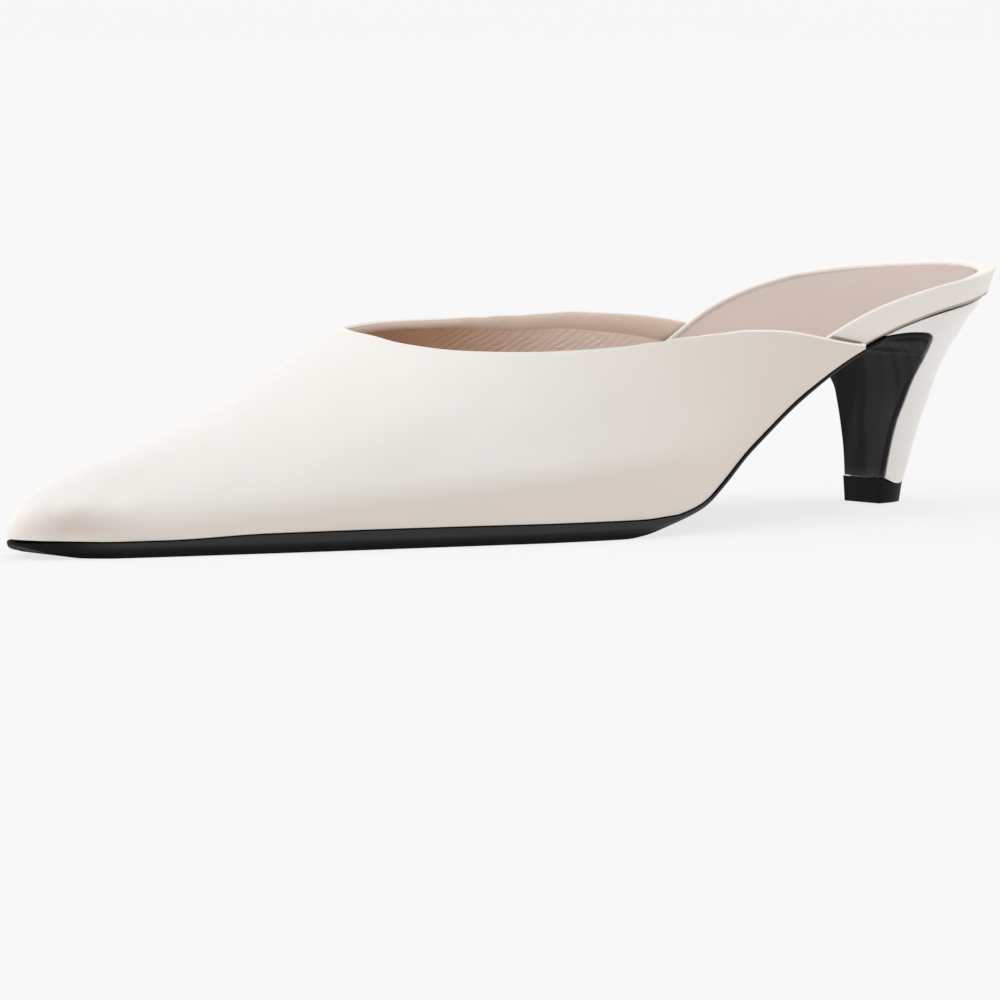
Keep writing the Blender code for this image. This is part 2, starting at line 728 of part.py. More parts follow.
def build_top_piece(collection):
    rings = []
    for foot in (0, 1):
        ring = []
        shrink = 1.0 - TOP_PIECE_TAPER * foot / heel_outline(1.0, 0.0, 1)
        start = heel_place(1.0, "front") - FLAP_THICKNESS - CLEARANCE
        depth = heel_place(1.0, "back") - start
        for side, count in ((-1, range(HEEL_STRIPS + 1)), (1, range(HEEL_STRIPS - 1, -1, -1))):
            for strip in count:
                part = math.sin(math.pi / 2.0 * strip / HEEL_STRIPS)
                y = heel_outline(1.0, part, side) * shrink
                top = heel_foot(part) - CLEARANCE
                ring.append(place(start + part * depth * shrink, y, 0.0 if foot else top))
        rings.append(ring)
    return new_object("top_piece", loft(rings), collection, BLACK, 0.45)


def build_all():
    clear_scene()
    collection = bpy.data.collections.new("kitten_heel_mule")
    bpy.context.scene.collection.children.link(collection)
    build_upper(collection)
    build_footbed(collection)
    build_sock(collection)
    build_outsole(collection)
    build_heel(collection)
    build_top_piece(collection)


build_all()
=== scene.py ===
"""Kitten heel mule: the finished look of one left shoe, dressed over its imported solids.

The toe points along -X, the heel along +X, the outer (lateral) side faces -Y and the floor is at Z 0.
A station is a share of the length, 0 at the toe tip and 1 at the back of the heel. A turn is a share
of the way round a section, -1 at the lateral feather line, 0 at the crown, +1 at the medial one.
The shoe's own curves are worked out here as they are for its solids, and drawn with finer steps.
"""

import math
from collections import namedtuple

import bmesh
import bpy
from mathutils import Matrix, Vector


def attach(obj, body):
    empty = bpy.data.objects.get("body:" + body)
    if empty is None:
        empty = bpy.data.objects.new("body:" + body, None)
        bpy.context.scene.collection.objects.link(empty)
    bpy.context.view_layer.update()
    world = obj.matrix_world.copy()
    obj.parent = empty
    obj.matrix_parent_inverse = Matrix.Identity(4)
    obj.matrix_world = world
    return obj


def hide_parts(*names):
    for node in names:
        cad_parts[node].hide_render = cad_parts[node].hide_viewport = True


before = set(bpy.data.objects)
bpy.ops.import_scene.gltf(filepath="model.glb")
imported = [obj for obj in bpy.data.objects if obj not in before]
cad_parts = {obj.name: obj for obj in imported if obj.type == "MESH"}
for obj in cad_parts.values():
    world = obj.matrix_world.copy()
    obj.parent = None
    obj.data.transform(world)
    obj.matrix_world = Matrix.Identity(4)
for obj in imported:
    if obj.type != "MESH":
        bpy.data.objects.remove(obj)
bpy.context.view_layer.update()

# Driving sizes of the shoe, in metres
LENGTH = 0.250
BALL_WIDTH = 0.0770
SEAT_WIDTH = 0.0520
HEEL_RISE = 0.0451
TOE_SPRING = 0.0028
INSTEP_HEIGHT = 0.0360
CROWN_SHIFT = 0.0030
SIDE_SWELL = 0.0010
UPPER_WALL = 0.0018
TAIL_WALL_SHARE = 0.45
TAIL_SKIVE = 0.70
TAIL_END = 0.79
TAIL_STANDS_PROUD = 0.0008
CLEARANCE = 0.0003
SOLE_THICKNESS = 0.0038
SOLE_BEVEL = 0.0012
SOLE_MARGIN = 0.0003
TOE_GAP = 0.0004
TOE_GAP_ENDS = 0.03
FLAP_THICKNESS = 0.0011
FLAP_MARGIN = 0.0002
FOOTBED_THICKNESS = 0.0066
FOOTBED_EDGE_ROUND = 0.0006
RIM_LEDGE = 0.0002
RIM_STANDS_PROUD = 0.0006
ARCH_BANK = 0.0004
FOOTBED_DISH = 0.0008
DISH_RUN = 0.2
FOOTBED_FULL = 0.85
FOOTBED_FRONT_SPACE = 0.0036
FOOTBED_UNDERCUT = 0.0024
SOCK_THICKNESS = 0.0007
SOCK_MARGIN = 0.0011
SOCK_BACK_MARGIN = 0.0054
SOCK_FRONT = 0.06
SOCK_LAST = 1.0 - SOCK_BACK_MARGIN / LENGTH
HEEL_FRONT = 0.815
HEEL_BLEND = 0.12
FLAP_BEND = 0.010
BREAST_HOLLOW = 0.0016
TOP_PIECE_THICKNESS = 0.0052
TOP_PIECE_CRADLE = 0.0014
TOP_PIECE_TAPER = 0.0005
SWELL_STARTS = 0.10
PATTERN_RISE = 0.7
EDGE_ROUND_LIMIT = 0.3
BEVEL_LIMIT = 0.4
SOLE_SIDE_SHARE = 0.55
SOLE_MARGIN_RUN = 0.01
FLAP_THINS = 0.2
HOLLOW_STARTS = 0.10
HOLLOW_RUN = 0.15
BANK_STARTS = 0.60
BANK_ENDS = 0.92
BALL_ENDS = 0.48
SEAT_STARTS = 0.78
SEAT_WIDEST = 0.90

# Finishing sizes that the solids leave out
LEATHER_SHARE = 0.5
LINING_BACK = 0.52
LINING_FRONT = 0.88
LINING_LAP = 0.6
FACING_FRONT = 0.97
FACING_ROUND = 0.60
FACING_STEPS = 14
TOPLINE_TUCK = 0.02
FOLD_RISE = 0.00045
FACING_DEPTH = 0.0050
TOE_WALL_RUN = 0.03
SOCK_EDGE_ROUND = 0.0003
RIM_BEAD = 0.0004
RIM_ROLL = 0.0007
SEAM_ROLL = 0.0007
SOCK_REACH = 0.00025
SEAM_CLOSES = 0.00018
SEAM_ROUND = 0.00025
SOLE_EDGE_ROUND = 0.00018
TOP_PIECE_ROUND = 0.00012
TOP_PIECE_SEAM = 0.00002

# The lateral tail's top edge near its end: where it is, how high, and how steeply it falls backwards
TAIL_LINE_START = 0.065
TAIL_LINE_HEIGHT = 0.0371
TAIL_LINE_FALL = 0.20

# How finely the pieces are drawn
MERGE = 0.000002
SHARP_ANGLE = 50.0
CREASE_FADE = 4
CURVE_STEPS = 12
TOPLINE_SOFTENING = 12
FEATHER_STEPS = 320
FEATHER_CROWDING = 1.35
TOP_CROWDING = 0.8
ROW_CROWDING = 1.6
LEVEL_CROWDING = 1.3
END_CROWDING = 1.6
UPPER_HALF_COLUMNS = 140
UPPER_ROWS = 40
FOLD_STEPS = 8
SOLE_STATIONS = 170
SOLE_STRIPS = 18
SOCK_STATIONS = 130
TOE_STATIONS = 6
RIM_STATIONS = 14
RIM_STEPS = 8
EDGE_SEGMENTS = 3
HEEL_LEVELS = 64
HEEL_STRIPS = 26

# Outline of the feather line, as shares of the width at that station
PlanRow = namedtuple("PlanRow", "station lateral medial")
PLAN = [
    PlanRow(0.00, 0.000, 0.000),
    PlanRow(0.01, 0.065, 0.065),
    PlanRow(0.04, 0.128, 0.130),
    PlanRow(0.10, 0.200, 0.220),
    PlanRow(0.18, 0.286, 0.322),
    PlanRow(0.28, 0.382, 0.420),
    PlanRow(0.36, 0.456, 0.468),
    PlanRow(0.42, 0.508, 0.454),
    PlanRow(0.48, 0.532, 0.409),
    PlanRow(0.54, 0.534, 0.370),
    PlanRow(0.60, 0.518, 0.359),
    PlanRow(0.66, 0.500, 0.382),
    PlanRow(0.72, 0.486, 0.421),
    PlanRow(0.78, 0.486, 0.456),
    PlanRow(0.84, 0.492, 0.480),
    PlanRow(0.90, 0.500, 0.500),
    PlanRow(0.95, 0.414, 0.414),
    PlanRow(0.98, 0.278, 0.278),
    PlanRow(1.00, 0.000, 0.000),
]

# Side view: toe spring, heel rise, sole and footbed thickness, as shares of their named sizes
ProfileRow = namedtuple("ProfileRow", "station spring rise sole footbed")
PROFILE = [
    ProfileRow(0.00, 1.12, 0.000, 0.10, 0.25),
    ProfileRow(0.02, 0.42, 0.000, 0.57, 0.25),
    ProfileRow(0.04, 0.08, 0.000, 0.78, 0.25),
    ProfileRow(0.07, 0.00, 0.000, 0.79, 0.25),
    ProfileRow(0.10, 0.00, 0.000, 0.79, 0.28),
    ProfileRow(0.18, 0.00, 0.000, 0.98, 0.29),
    ProfileRow(0.28, 0.00, 0.000, 1.00, 0.30),
    ProfileRow(0.42, 0.00, 0.000, 0.96, 0.36),
    ProfileRow(0.48, 0.00, 0.000, 0.93, 0.46),
    ProfileRow(0.50, 0.00, 0.013, 0.77, 0.50),
    ProfileRow(0.52, 0.00, 0.041, 0.51, 0.57),
    ProfileRow(0.54, 0.00, 0.070, 0.27, 0.64),
    ProfileRow(0.57, 0.00, 0.116, 0.22, 0.75),
    ProfileRow(0.60, 0.00, 0.204, 0.20, 0.86),
    ProfileRow(0.63, 0.00, 0.308, 0.19, 0.94),
    ProfileRow(0.66, 0.00, 0.396, 0.19, 1.00),
    ProfileRow(0.72, 0.00, 0.568, 0.19, 1.10),
    ProfileRow(0.78, 0.00, 0.731, 0.19, 1.08),
    ProfileRow(0.84, 0.00, 0.857, 0.19, 0.93),
    ProfileRow(0.92, 0.00, 0.950, 0.19, 0.83),
    ProfileRow(1.00, 0.00, 1.000, 0.19, 0.82),
]

# Sections: crown height, its shift towards the inner side, and how square the section is
SectionRow = namedtuple("SectionRow", "station crown shift squareness")
SECTIONS = [
    SectionRow(0.00, 0.00, 0.0, 2.0),
    SectionRow(0.005, 0.14, 0.0, 2.0),
    SectionRow(0.02, 0.23, 0.1, 2.0),
    SectionRow(0.05, 0.32, 0.3, 2.1),
    SectionRow(0.10, 0.42, 0.5, 2.1),
    SectionRow(0.15, 0.50, 0.8, 2.2),
    SectionRow(0.20, 0.59, 1.0, 2.3),
    SectionRow(0.25, 0.72, 1.0, 2.3),
    SectionRow(0.30, 0.86, 1.0, 2.4),
    SectionRow(0.35, 1.03, 1.0, 2.4),
    SectionRow(0.40, 1.20, 1.0, 2.4),
    SectionRow(0.46, 1.36, 1.0, 2.4),
    SectionRow(0.52, 1.50, 1.0, 2.4),
    SectionRow(0.60, 1.64, 1.0, 2.4),
    SectionRow(0.70, 1.69, 1.0, 2.4),
    SectionRow(0.80, 1.67, 1.0, 2.4),
    SectionRow(1.00, 1.60, 1.0, 2.4),
]

# The topline, from the lateral tail round the throat to the medial tail
TopRow = namedtuple("TopRow", "station turn")
TOPLINE = [
    TopRow(0.788, -0.996),
    TopRow(0.760, -0.965),
    TopRow(0.712, -0.895),
    TopRow(0.630, -0.768),
    TopRow(0.552, -0.628),
    TopRow(0.476, -0.570),
    TopRow(0.430, -0.522),
    TopRow(0.390, -0.445),
    TopRow(0.356, -0.300),
    TopRow(0.343, -0.140),
    TopRow(0.346, 0.000),
    TopRow(0.357, 0.135),
    TopRow(0.380, 0.310),
    TopRow(0.425, 0.419),
    TopRow(0.499, 0.525),
    TopRow(0.530, 0.5575),
    TopRow(0.560, 0.601),
    TopRow(0.602, 0.6865),
    TopRow(0.643, 0.768),
    TopRow(0.710, 0.875),
    TopRow(0.765, 0.955),
    TopRow(0.790, 0.988),
]

# The heel from its top (level 0) to its foot (level 1): breast, back, width and squareness
HeelRow = namedtuple("HeelRow", "level front back width squareness")
HEEL = [
    HeelRow(0.00, 0.000, 0.895, 1.00, 2.2),
    HeelRow(0.03, 0.085, 0.858, 1.00, 2.1),
    HeelRow(0.06, 0.175, 0.840, 1.00, 2.0),
    HeelRow(0.10, 0.270, 0.826, 0.99, 1.9),
    HeelRow(0.14, 0.312, 0.8165, 0.945, 1.8),
    HeelRow(0.20, 0.343, 0.803, 0.85, 1.75),
    HeelRow(0.25, 0.372, 0.790, 0.755, 1.7),
    HeelRow(0.30, 0.386, 0.776, 0.68, 1.7),
    HeelRow(0.38, 0.402, 0.750, 0.565, 1.75),
    HeelRow(0.48, 0.409, 0.719, 0.463, 1.9),
    HeelRow(0.57, 0.402, 0.690, 0.406, 2.0),
    HeelRow(0.66, 0.393, 0.664, 0.352, 2.0),
    HeelRow(0.84, 0.383, 0.620, 0.280, 2.0),
    HeelRow(1.00, 0.373, 0.573, 0.240, 2.0),
]

# Soft troughs (positive depth) and ridges (negative) in the upper, in metres along and across each
CreaseRow = namedtuple("CreaseRow", "station turn slant run breadth depth")
CREASES = [
    CreaseRow(0.055, -0.62, 8.0, 0.0110, 0.0022, 0.00030),
    CreaseRow(0.160, -0.70, 4.0, 0.0300, 0.0045, 0.00022),
    CreaseRow(0.330, -0.74, 3.0, 0.0360, 0.0060, 0.00028),
    CreaseRow(0.440, -0.80, -4.0, 0.0260, 0.0050, 0.00020),
    CreaseRow(0.400, -0.62, 24.0, 0.0200, 0.0060, -0.00018),
    CreaseRow(0.560, -0.82, 38.0, 0.0200, 0.0070, 0.00030),
    CreaseRow(0.640, -0.86, 50.0, 0.0160, 0.0060, 0.00022),
    CreaseRow(0.260, -0.30, -12.0, 0.0300, 0.0080, 0.00016),
    CreaseRow(0.300, 0.35, 14.0, 0.0300, 0.0080, 0.00018),
    CreaseRow(0.500, 0.80, -36.0, 0.0200, 0.0065, 0.00026),
]


def smooth_step(share):
    share = min(max(share, 0.0), 1.0)
    return share * share * (3.0 - 2.0 * share)


def end_weighted(station):
    """Spread a station so that a curve over it is round at the toe and at the heel."""
    return math.acos(1.0 - 2.0 * min(max(station, 0.0), 1.0))


def curve_over(places, values):
    """Return a smooth curve through the values that never overshoots them."""
    steps = [b - a for a, b in zip(places, places[1:])]
    slopes = [(b - a) / step for a, b, step in zip(values, values[1:], steps)]
    tangents = [slopes[0]]
    for left, right, before, after in zip(slopes, slopes[1:], steps, steps[1:]):
        if left * right <= 0.0:
            tangents.append(0.0)
            continue
        near, far = 2.0 * after + before, after + 2.0 * before
        tangents.append((near + far) / (near / left + far / right))
    tangents.append(slopes[-1])

    def value_at(place):
        place = min(max(place, places[0]), places[-1])
        index = 0
        while index < len(steps) - 1 and place > places[index + 1]:
            index += 1
        step = steps[index]
        part = (place - places[index]) / step
        rest = 1.0 - part
        return (
            values[index] * rest * rest * (1.0 + 2.0 * part)
            + values[index + 1] * part * part * (3.0 - 2.0 * part)
            + step * tangents[index] * part * rest * rest
            - step * tangents[index + 1] * part * part * rest
        )

    return value_at


def table_curve(rows, column, spread=lambda place: place):
    """Return a smooth curve of one column of a table over its first column."""
    inner = curve_over([spread(row[0]) for row in rows], [getattr(row, column) for row in rows])
    return lambda place: inner(spread(place))


PLAN_SHARE = {
    -1: table_curve(PLAN, "lateral", end_weighted),
    1: table_curve(PLAN, "medial", end_weighted),
}
SPRING = table_curve(PROFILE, "spring")
RISE = table_curve(PROFILE, "rise")
SOLE_SHARE = table_curve(PROFILE, "sole")
FOOTBED_SHARE = table_curve(PROFILE, "footbed")
CROWN = table_curve(SECTIONS, "crown", end_weighted)
SHIFT = table_curve(SECTIONS, "shift")
SQUARENESS = table_curve(SECTIONS, "squareness")
HEEL_CURVES = {name: table_curve(HEEL, name) for name in ("front", "back", "width", "squareness")}

LATERAL_REACH = max(row.lateral for row in PLAN) * BALL_WIDTH
MEDIAL_REACH = max(row.medial for row in PLAN if row.station < BALL_ENDS) * BALL_WIDTH
AXIS_SHIFT = (LATERAL_REACH - MEDIAL_REACH) / 2.0


def place(x, y, z):
    """Turn a point measured from the toe tip and the heel's axis into the shoe's own frame."""
    return Vector((x - LENGTH / 2.0, y + AXIS_SHIFT, z))


def half_width(station, side):
    """Distance of the feather line from the heel's axis, on the lateral (-1) or medial (1) side."""
    to_seat = smooth_step((station - BALL_ENDS) / (SEAT_STARTS - BALL_ENDS))
    width = BALL_WIDTH + (SEAT_WIDTH - BALL_WIDTH) * to_seat
    return PLAN_SHARE[side](station) * width


def sole_thickness(station):
    return SOLE_THICKNESS * SOLE_SHARE(station)


def feather_height(station):
    """Height of the line where the upper meets the sole."""
    return TOE_SPRING * SPRING(station) + HEEL_RISE * RISE(station) + sole_thickness(station) + CLEARANCE


def crown_height(station):
    return INSTEP_HEIGHT * CROWN(station)


def tail_share(station):
    """How far a place has come from the quarters' full wall (0) to the tails' thin ends (1)."""
    return smooth_step((station - TAIL_SKIVE) / (TAIL_END - TAIL_SKIVE))


def last_point(station, turn):
    """A point on the outside of the upper."""
    side = -1 if turn < 0.0 else 1
    angle = (1.0 - min(abs(turn), 1.0)) * math.pi / 2.0
    power = 2.0 / SQUARENESS(station)
    out = max(math.cos(angle), 0.0) ** power
    up = max(math.sin(angle), 0.0) ** power
    crown_y = CROWN_SHIFT * SHIFT(station)
    edge_y = side * (half_width(station, side) + TAIL_STANDS_PROUD * tail_share(station))
    swell = SIDE_SWELL * math.sin(math.pi * up) ** 2 * min(1.0, station / SWELL_STARTS)
    y = crown_y + (edge_y - crown_y) * out + side * swell
    return place(station * LENGTH, y, feather_height(station) + crown_height(station) * up)


def pattern_width(station, side):
    """Width of the upper's flat pattern from its centre line to the feather line."""
    return half_width(station, side) + PATTERN_RISE * crown_height(station)


def flat_point(station, turn):
    side = -1 if turn < 0.0 else 1
    return station * LENGTH, turn * pattern_width(station, side)


def flat_turn(x, y):
    """Station and turn of a point of the flat pattern."""
    station = x / LENGTH
    width = pattern_width(station, -1 if y < 0.0 else 1)
    return station, max(-1.0, min(1.0, y / width)) if width > 0.0 else 0.0


def even_samples(points, count, crowd=lambda share: share):
    """Pick points along a polyline at shares of its length."""
    lengths = [0.0]
    for (ax, ay), (bx, by) in zip(points, points[1:]):
        lengths.append(lengths[-1] + math.hypot(bx - ax, by - ay))
    picked = []
    index = 0
    for number in range(count + 1):
        want = crowd(number / count) * lengths[-1]
        while index < len(points) - 2 and lengths[index + 1] < want:
            index += 1
        part = (want - lengths[index]) / (lengths[index + 1] - lengths[index])
        (ax, ay), (bx, by) = points[index], points[index + 1]
        picked.append((ax + (bx - ax) * part, ay + (by - ay) * part))
    return picked


def softened(values):
    """Take small corners out of a row of values, keeping its two ends."""
    for _ in range(TOPLINE_SOFTENING):
        inner = [(a + 2.0 * b + c) / 4.0 for a, b, c in zip(values, values[1:], values[2:])]
        values = [values[0], *inner, values[-1]]
    return values


def fine_curve(rows):
    """Smooth curve through the topline's rows, as many short chords."""
    flat = [flat_point(row.station, row.turn) for row in rows]
    along = [0.0]
    for (ax, ay), (bx, by) in zip(flat, flat[1:]):
        along.append(along[-1] + math.hypot(bx - ax, by - ay))
    station = curve_over(along, [row.station for row in rows])
    turn = curve_over(along, [row.turn for row in rows])
    count = (len(rows) - 1) * CURVE_STEPS
    places = [along[-1] * number / count for number in range(count + 1)]
    stations = softened([station(place_along) for place_along in places])
    turns = softened([turn(place_along) for place_along in places])
    return list(zip(stations, turns))


def upper_columns():
    """Pairs of flat points, on the feather line and on the topline, tail to toe to tail."""
    top = fine_curve(TOPLINE)
    throat = min(range(len(top)), key=lambda index: abs(top[index][1]))
    columns = []
    for side, edge in ((-1, top[: throat + 1]), (1, top[: throat - 1 : -1])):
        edge[-1] = (edge[-1][0], 0.0)
        turns = [math.pi / 2.0 * step / FEATHER_STEPS for step in range(FEATHER_STEPS + 1)]
        stations = [edge[0][0] * (1.0 - math.sin(angle)) for angle in turns]
        feather = [flat_point(station, side) for station in stations]
        feather[-1] = (0.0, 0.0)
        low = even_samples(feather, UPPER_HALF_COLUMNS, lambda share: 1.0 - (1.0 - share) ** FEATHER_CROWDING)
        flat_edge = [flat_point(station, turn) for station, turn in edge]
        high = even_samples(flat_edge, UPPER_HALF_COLUMNS, lambda share: share**TOP_CROWDING)
        columns.append(list(zip(low, high)))
    return columns[0] + columns[1][-2::-1]


def crease_depth(x, y):
    """How far the troughs and ridges sink the leather at a point of the flat pattern."""
    depth = 0.0
    for crease in CREASES:
        centre = flat_point(crease.station, crease.turn)
        slant = math.radians(crease.slant)
        ahead, aside = x - centre[0], y - centre[1]
        along = (ahead * math.cos(slant) + aside * math.sin(slant)) / crease.run
        across = (aside * math.cos(slant) - ahead * math.sin(slant)) / crease.breadth
        depth += crease.depth * math.exp(-along * along - across * across)
    return depth


Strip = namedtuple("Strip", "points normals walls")


def upper_strips():
    """For each column of the upper: its points, outward normals and the wall's thickness at each row."""
    columns = upper_columns()
    grid, sinks, walls = [], [], []
    for (ax, ay), (bx, by) in columns:
        length = max(math.hypot(bx - ax, by - ay), MERGE)
        reach = max(1.0 - FOLD_RISE / length, 0.6)
        line, sunk, wall = [], [], []
        for row in range(UPPER_ROWS + 1):
            share = (row / UPPER_ROWS) ** ROW_CROWDING * reach
            x, y = ax + (bx - ax) * share, ay + (by - ay) * share
            station, turn = flat_turn(x, y)
            line.append(last_point(station, turn))
            sunk.append(crease_depth(x, y) * (1.0 - share**CREASE_FADE))
            thins = 1.0 - (1.0 - TAIL_WALL_SHARE) * tail_share(station)
            wall.append(UPPER_WALL * thins * smooth_step(0.25 + station / TOE_WALL_RUN))
        grid.append(line)
        sinks.append(sunk)
        walls.append(wall)
    strips = []
    last = len(grid) - 1
    for index, line in enumerate(grid):
        before, after = grid[max(index - 1, 0)], grid[min(index + 1, last)]
        normals = []
        for row in range(UPPER_ROWS + 1):
            rise = line[min(row + 1, UPPER_ROWS)] - line[max(row - 1, 0)]
            normals.append(rise.cross(after[row] - before[row]).normalized())
        points = [point - normal * sink for point, normal, sink in zip(line, normals, sinks[index])]
        strips.append(Strip(points, normals, walls[index]))
    return strips


def leather_ring(strip):
    """Section of the outer leather: up the outside, over the folded edge and down its back."""
    tip, normal, wall = strip.points[-1], strip.normals[-1], strip.walls[-1] * LEATHER_SHARE
    rise = (tip - strip.points[-2]).normalized()
    ring = list(strip.points)
    for step in range(1, FOLD_STEPS):
        angle = math.pi * step / FOLD_STEPS
        ring.append(tip - normal * wall * (1.0 - math.cos(angle)) / 2.0 + rise * FOLD_RISE * math.sin(angle))
    for row in range(UPPER_ROWS, -1, -1):
        ring.append(strip.points[row] - strip.normals[row] * strip.walls[row] * LEATHER_SHARE)
    return ring


def wall_point(strip, place_up, share):
    """A point of a column between two rows, at a share of the wall's thickness behind the outside."""
    row = min(int(place_up), UPPER_ROWS - 1)
    part = place_up - row
    point = strip.points[row].lerp(strip.points[row + 1], part)
    normal = strip.normals[row].lerp(strip.normals[row + 1], part)
    wall = strip.walls[row] + (strip.walls[row + 1] - strip.walls[row]) * part
    return point - normal * wall * share


def facing_row(strip):
    """How far up a column, in rows, the facing's lower edge lies."""
    left = FACING_DEPTH
    for row in range(UPPER_ROWS, 0, -1):
        length = (strip.points[row] - strip.points[row - 1]).length
        if left <= length:
            return row - left / length
        left -= length
    return 0.0


def lining_ring(strip):
    """Section of the lining, up its hidden side and down its bare one. It ends behind the facing."""
    high = facing_row(strip) + LINING_LAP
    places_up = [high * step / UPPER_ROWS for step in range(UPPER_ROWS + 1)]
    ring = [wall_point(strip, place_up, LINING_BACK) for place_up in places_up]
    return ring + [wall_point(strip, place_up, LINING_FRONT) for place_up in reversed(places_up)]


def facing_ring(strip):
    """Section of the facing, the strip of leather turned in along the topline."""
    low = facing_row(strip)
    span, thickness = UPPER_ROWS - TOPLINE_TUCK - low, FACING_FRONT - LINING_BACK
    steps = range(FACING_STEPS + 1)
    ring = [wall_point(strip, low + span * step / FACING_STEPS, LINING_BACK) for step in steps]
    for step in steps:
        part = (1.0 + math.cos(math.pi * step / FACING_STEPS)) / 2.0
        swell = math.sin(math.pi * part) ** FACING_ROUND
        ring.append(wall_point(strip, low + span * part, LINING_BACK + thickness * swell))
    return ring


def skin(rings, finish_at=lambda index: 0):
    """Faces between rings of equal count, with the first and the last ring closed over."""
    bm = bmesh.new()
    loops = [[bm.verts.new(point) for point in ring] for ring in rings]
    for first, second in zip(loops, loops[1:]):
        for index in range(len(first)):
            after = (index + 1) % len(first)
            face = bm.faces.new((first[index], first[after], second[after], second[index]))
            face.material_index = finish_at(index)
    bm.faces.new(list(reversed(loops[0])))
    bm.faces.new(loops[-1])
    bmesh.ops.remove_doubles(bm, verts=bm.verts, dist=MERGE)
    bmesh.ops.dissolve_degenerate(bm, edges=bm.edges, dist=MERGE)
    bmesh.ops.recalc_face_normals(bm, faces=bm.faces)
    if bm.calc_volume(signed=True) < 0.0:
        bmesh.ops.reverse_faces(bm, faces=bm.faces)
    return bm


def new_piece(name, bm, materials, nodes):
    """Put a finished piece in the scene, in place of the plain solids that it stands for."""
    mesh = bpy.data.meshes.new(name)
    bm.to_mesh(mesh)
    bm.free()
    mesh.shade_smooth()
    mesh.set_sharp_from_angle(angle=math.radians(SHARP_ANGLE))
    for material in materials:
        mesh.materials.append(material)
    piece = bpy.data.objects.new(name, mesh)
    bpy.context.scene.collection.objects.link(piece)
    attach(piece, "root")
    if nodes:
        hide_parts(*nodes)
    return piece


def round_edges(piece, width, angle):
    """Soften the edges of a piece that turn by more than an angle."""
    bevel = piece.modifiers.new("rounded edges", "BEVEL")
    bevel.width = width
    bevel.segments = EDGE_SEGMENTS
    bevel.limit_method = "ANGLE"
    bevel.angle_limit = math.radians(angle)


def inner_half_width(station, side, inset):
    """Half width of an outline set in from the feather line by the same amount all round."""
    along = inset / LENGTH * math.cos(math.pi * station)
    return max(half_width(station - along, side) - inset, 0.0)


def footbed_inset(station):
    """The footbed lies inside the upper, and comes out to the full outline behind the tails."""
    covered = UPPER_WALL + 2.0 * CLEARANCE
    at_tail = UPPER_WALL * TAIL_WALL_SHARE + 2.0 * CLEARANCE - TAIL_STANDS_PROUD
    bare = smooth_step((station - TAIL_END) / (FOOTBED_FULL - TAIL_END))
    return (covered + (at_tail - covered) * tail_share(station)) * (1.0 - bare)


def footbed_rim(station, across):
    """Height of the rim, banked up towards the arch: across is -1 at the lateral edge, 1 at the medial."""
    bank = math.sin(math.pi * smooth_step((station - BANK_STARTS) / (BANK_ENDS - BANK_STARTS)))
    level = feather_height(station) + FOOTBED_THICKNESS * FOOTBED_SHARE(station)
    return level + ARCH_BANK * bank * across


def rim_share(station):
    """How far the rim stands up beside the sock: hardly under the toes, fully in the open part."""
    return smooth_step((station - BALL_ENDS) / DISH_RUN)


def footbed_top(station, y):
    """Height of the footbed under the sock, slightly dished across and banked like the rim."""
    side = -1 if y < 0.0 else 1
    across = y / half_width(min(station, SEAT_WIDEST), side)
    fullness = rim_share(station)
    fullness *= 1.0 - smooth_step((station - SEAT_WIDEST) / (SOCK_LAST - SEAT_WIDEST))
    dish = FOOTBED_DISH * (1.0 - across * across) * fullness + RIM_STANDS_PROUD * rim_share(station)
    return footbed_rim(station, across) - SOCK_THICKNESS - CLEARANCE - dish


def spaced_stations(first, last, count):
    """Stations that lie closer together towards both ends of the shoe."""
    low, high = end_weighted(first), end_weighted(last)
    return [(1.0 - math.cos(low + (high - low) * step / count)) / 2.0 for step in range(count + 1)]


def sock_stations():
    """Stations along the sock, closer together towards its round back end."""
    shares = [1.0 - (1.0 - step / SOCK_STATIONS) ** END_CROWDING for step in range(SOCK_STATIONS + 1)]
    return [SOCK_FRONT + (SOCK_LAST - SOCK_FRONT) * share for share in shares]


def recess_limit(station, side):
    """The recess stops short of the footbed's rounded rim."""
    return inner_half_width(station, side, footbed_inset(station)) - FOOTBED_EDGE_ROUND - RIM_LEDGE


def sock_half_width(station, side):
    """The sock leaves a narrow rim at the sides and a wider one round the back."""
    if station > SOCK_LAST:
        return 0.0
    backward = smooth_step((station - SEAT_STARTS) / (SOCK_LAST - SEAT_STARTS))
    matched = station + SOCK_BACK_MARGIN / LENGTH * backward
    margin = footbed_inset(station) + SOCK_MARGIN
    edge = half_width(matched, side) * (1.0 - margin / half_width(min(matched, SEAT_WIDEST), side))
    return max(min(edge, recess_limit(station, side) - CLEARANCE), 0.0)


def recess_half_width(station, side):
    """The footbed's recess keeps clear of the sock all round."""
    if station > SOCK_LAST + CLEARANCE / LENGTH:
        return 0.0
    edge = sock_half_width(station - CLEARANCE / LENGTH, side) + CLEARANCE
    return min(edge, max(recess_limit(station, side), CLEARANCE))


QUARTER_TURNS = [math.pi / 2.0 * step / RIM_STEPS for step in range(RIM_STEPS + 1)]
QUARTER_ROUND = [(math.sin(angle), math.cos(angle)) for angle in QUARTER_TURNS]


def rolled(distance, radius):
    """How far a rolled edge has turned down at a distance in from the edge."""
    short = min(max(1.0 - distance / radius, 0.0), 1.0)
    return radius * (1.0 - math.sqrt(1.0 - short * short))


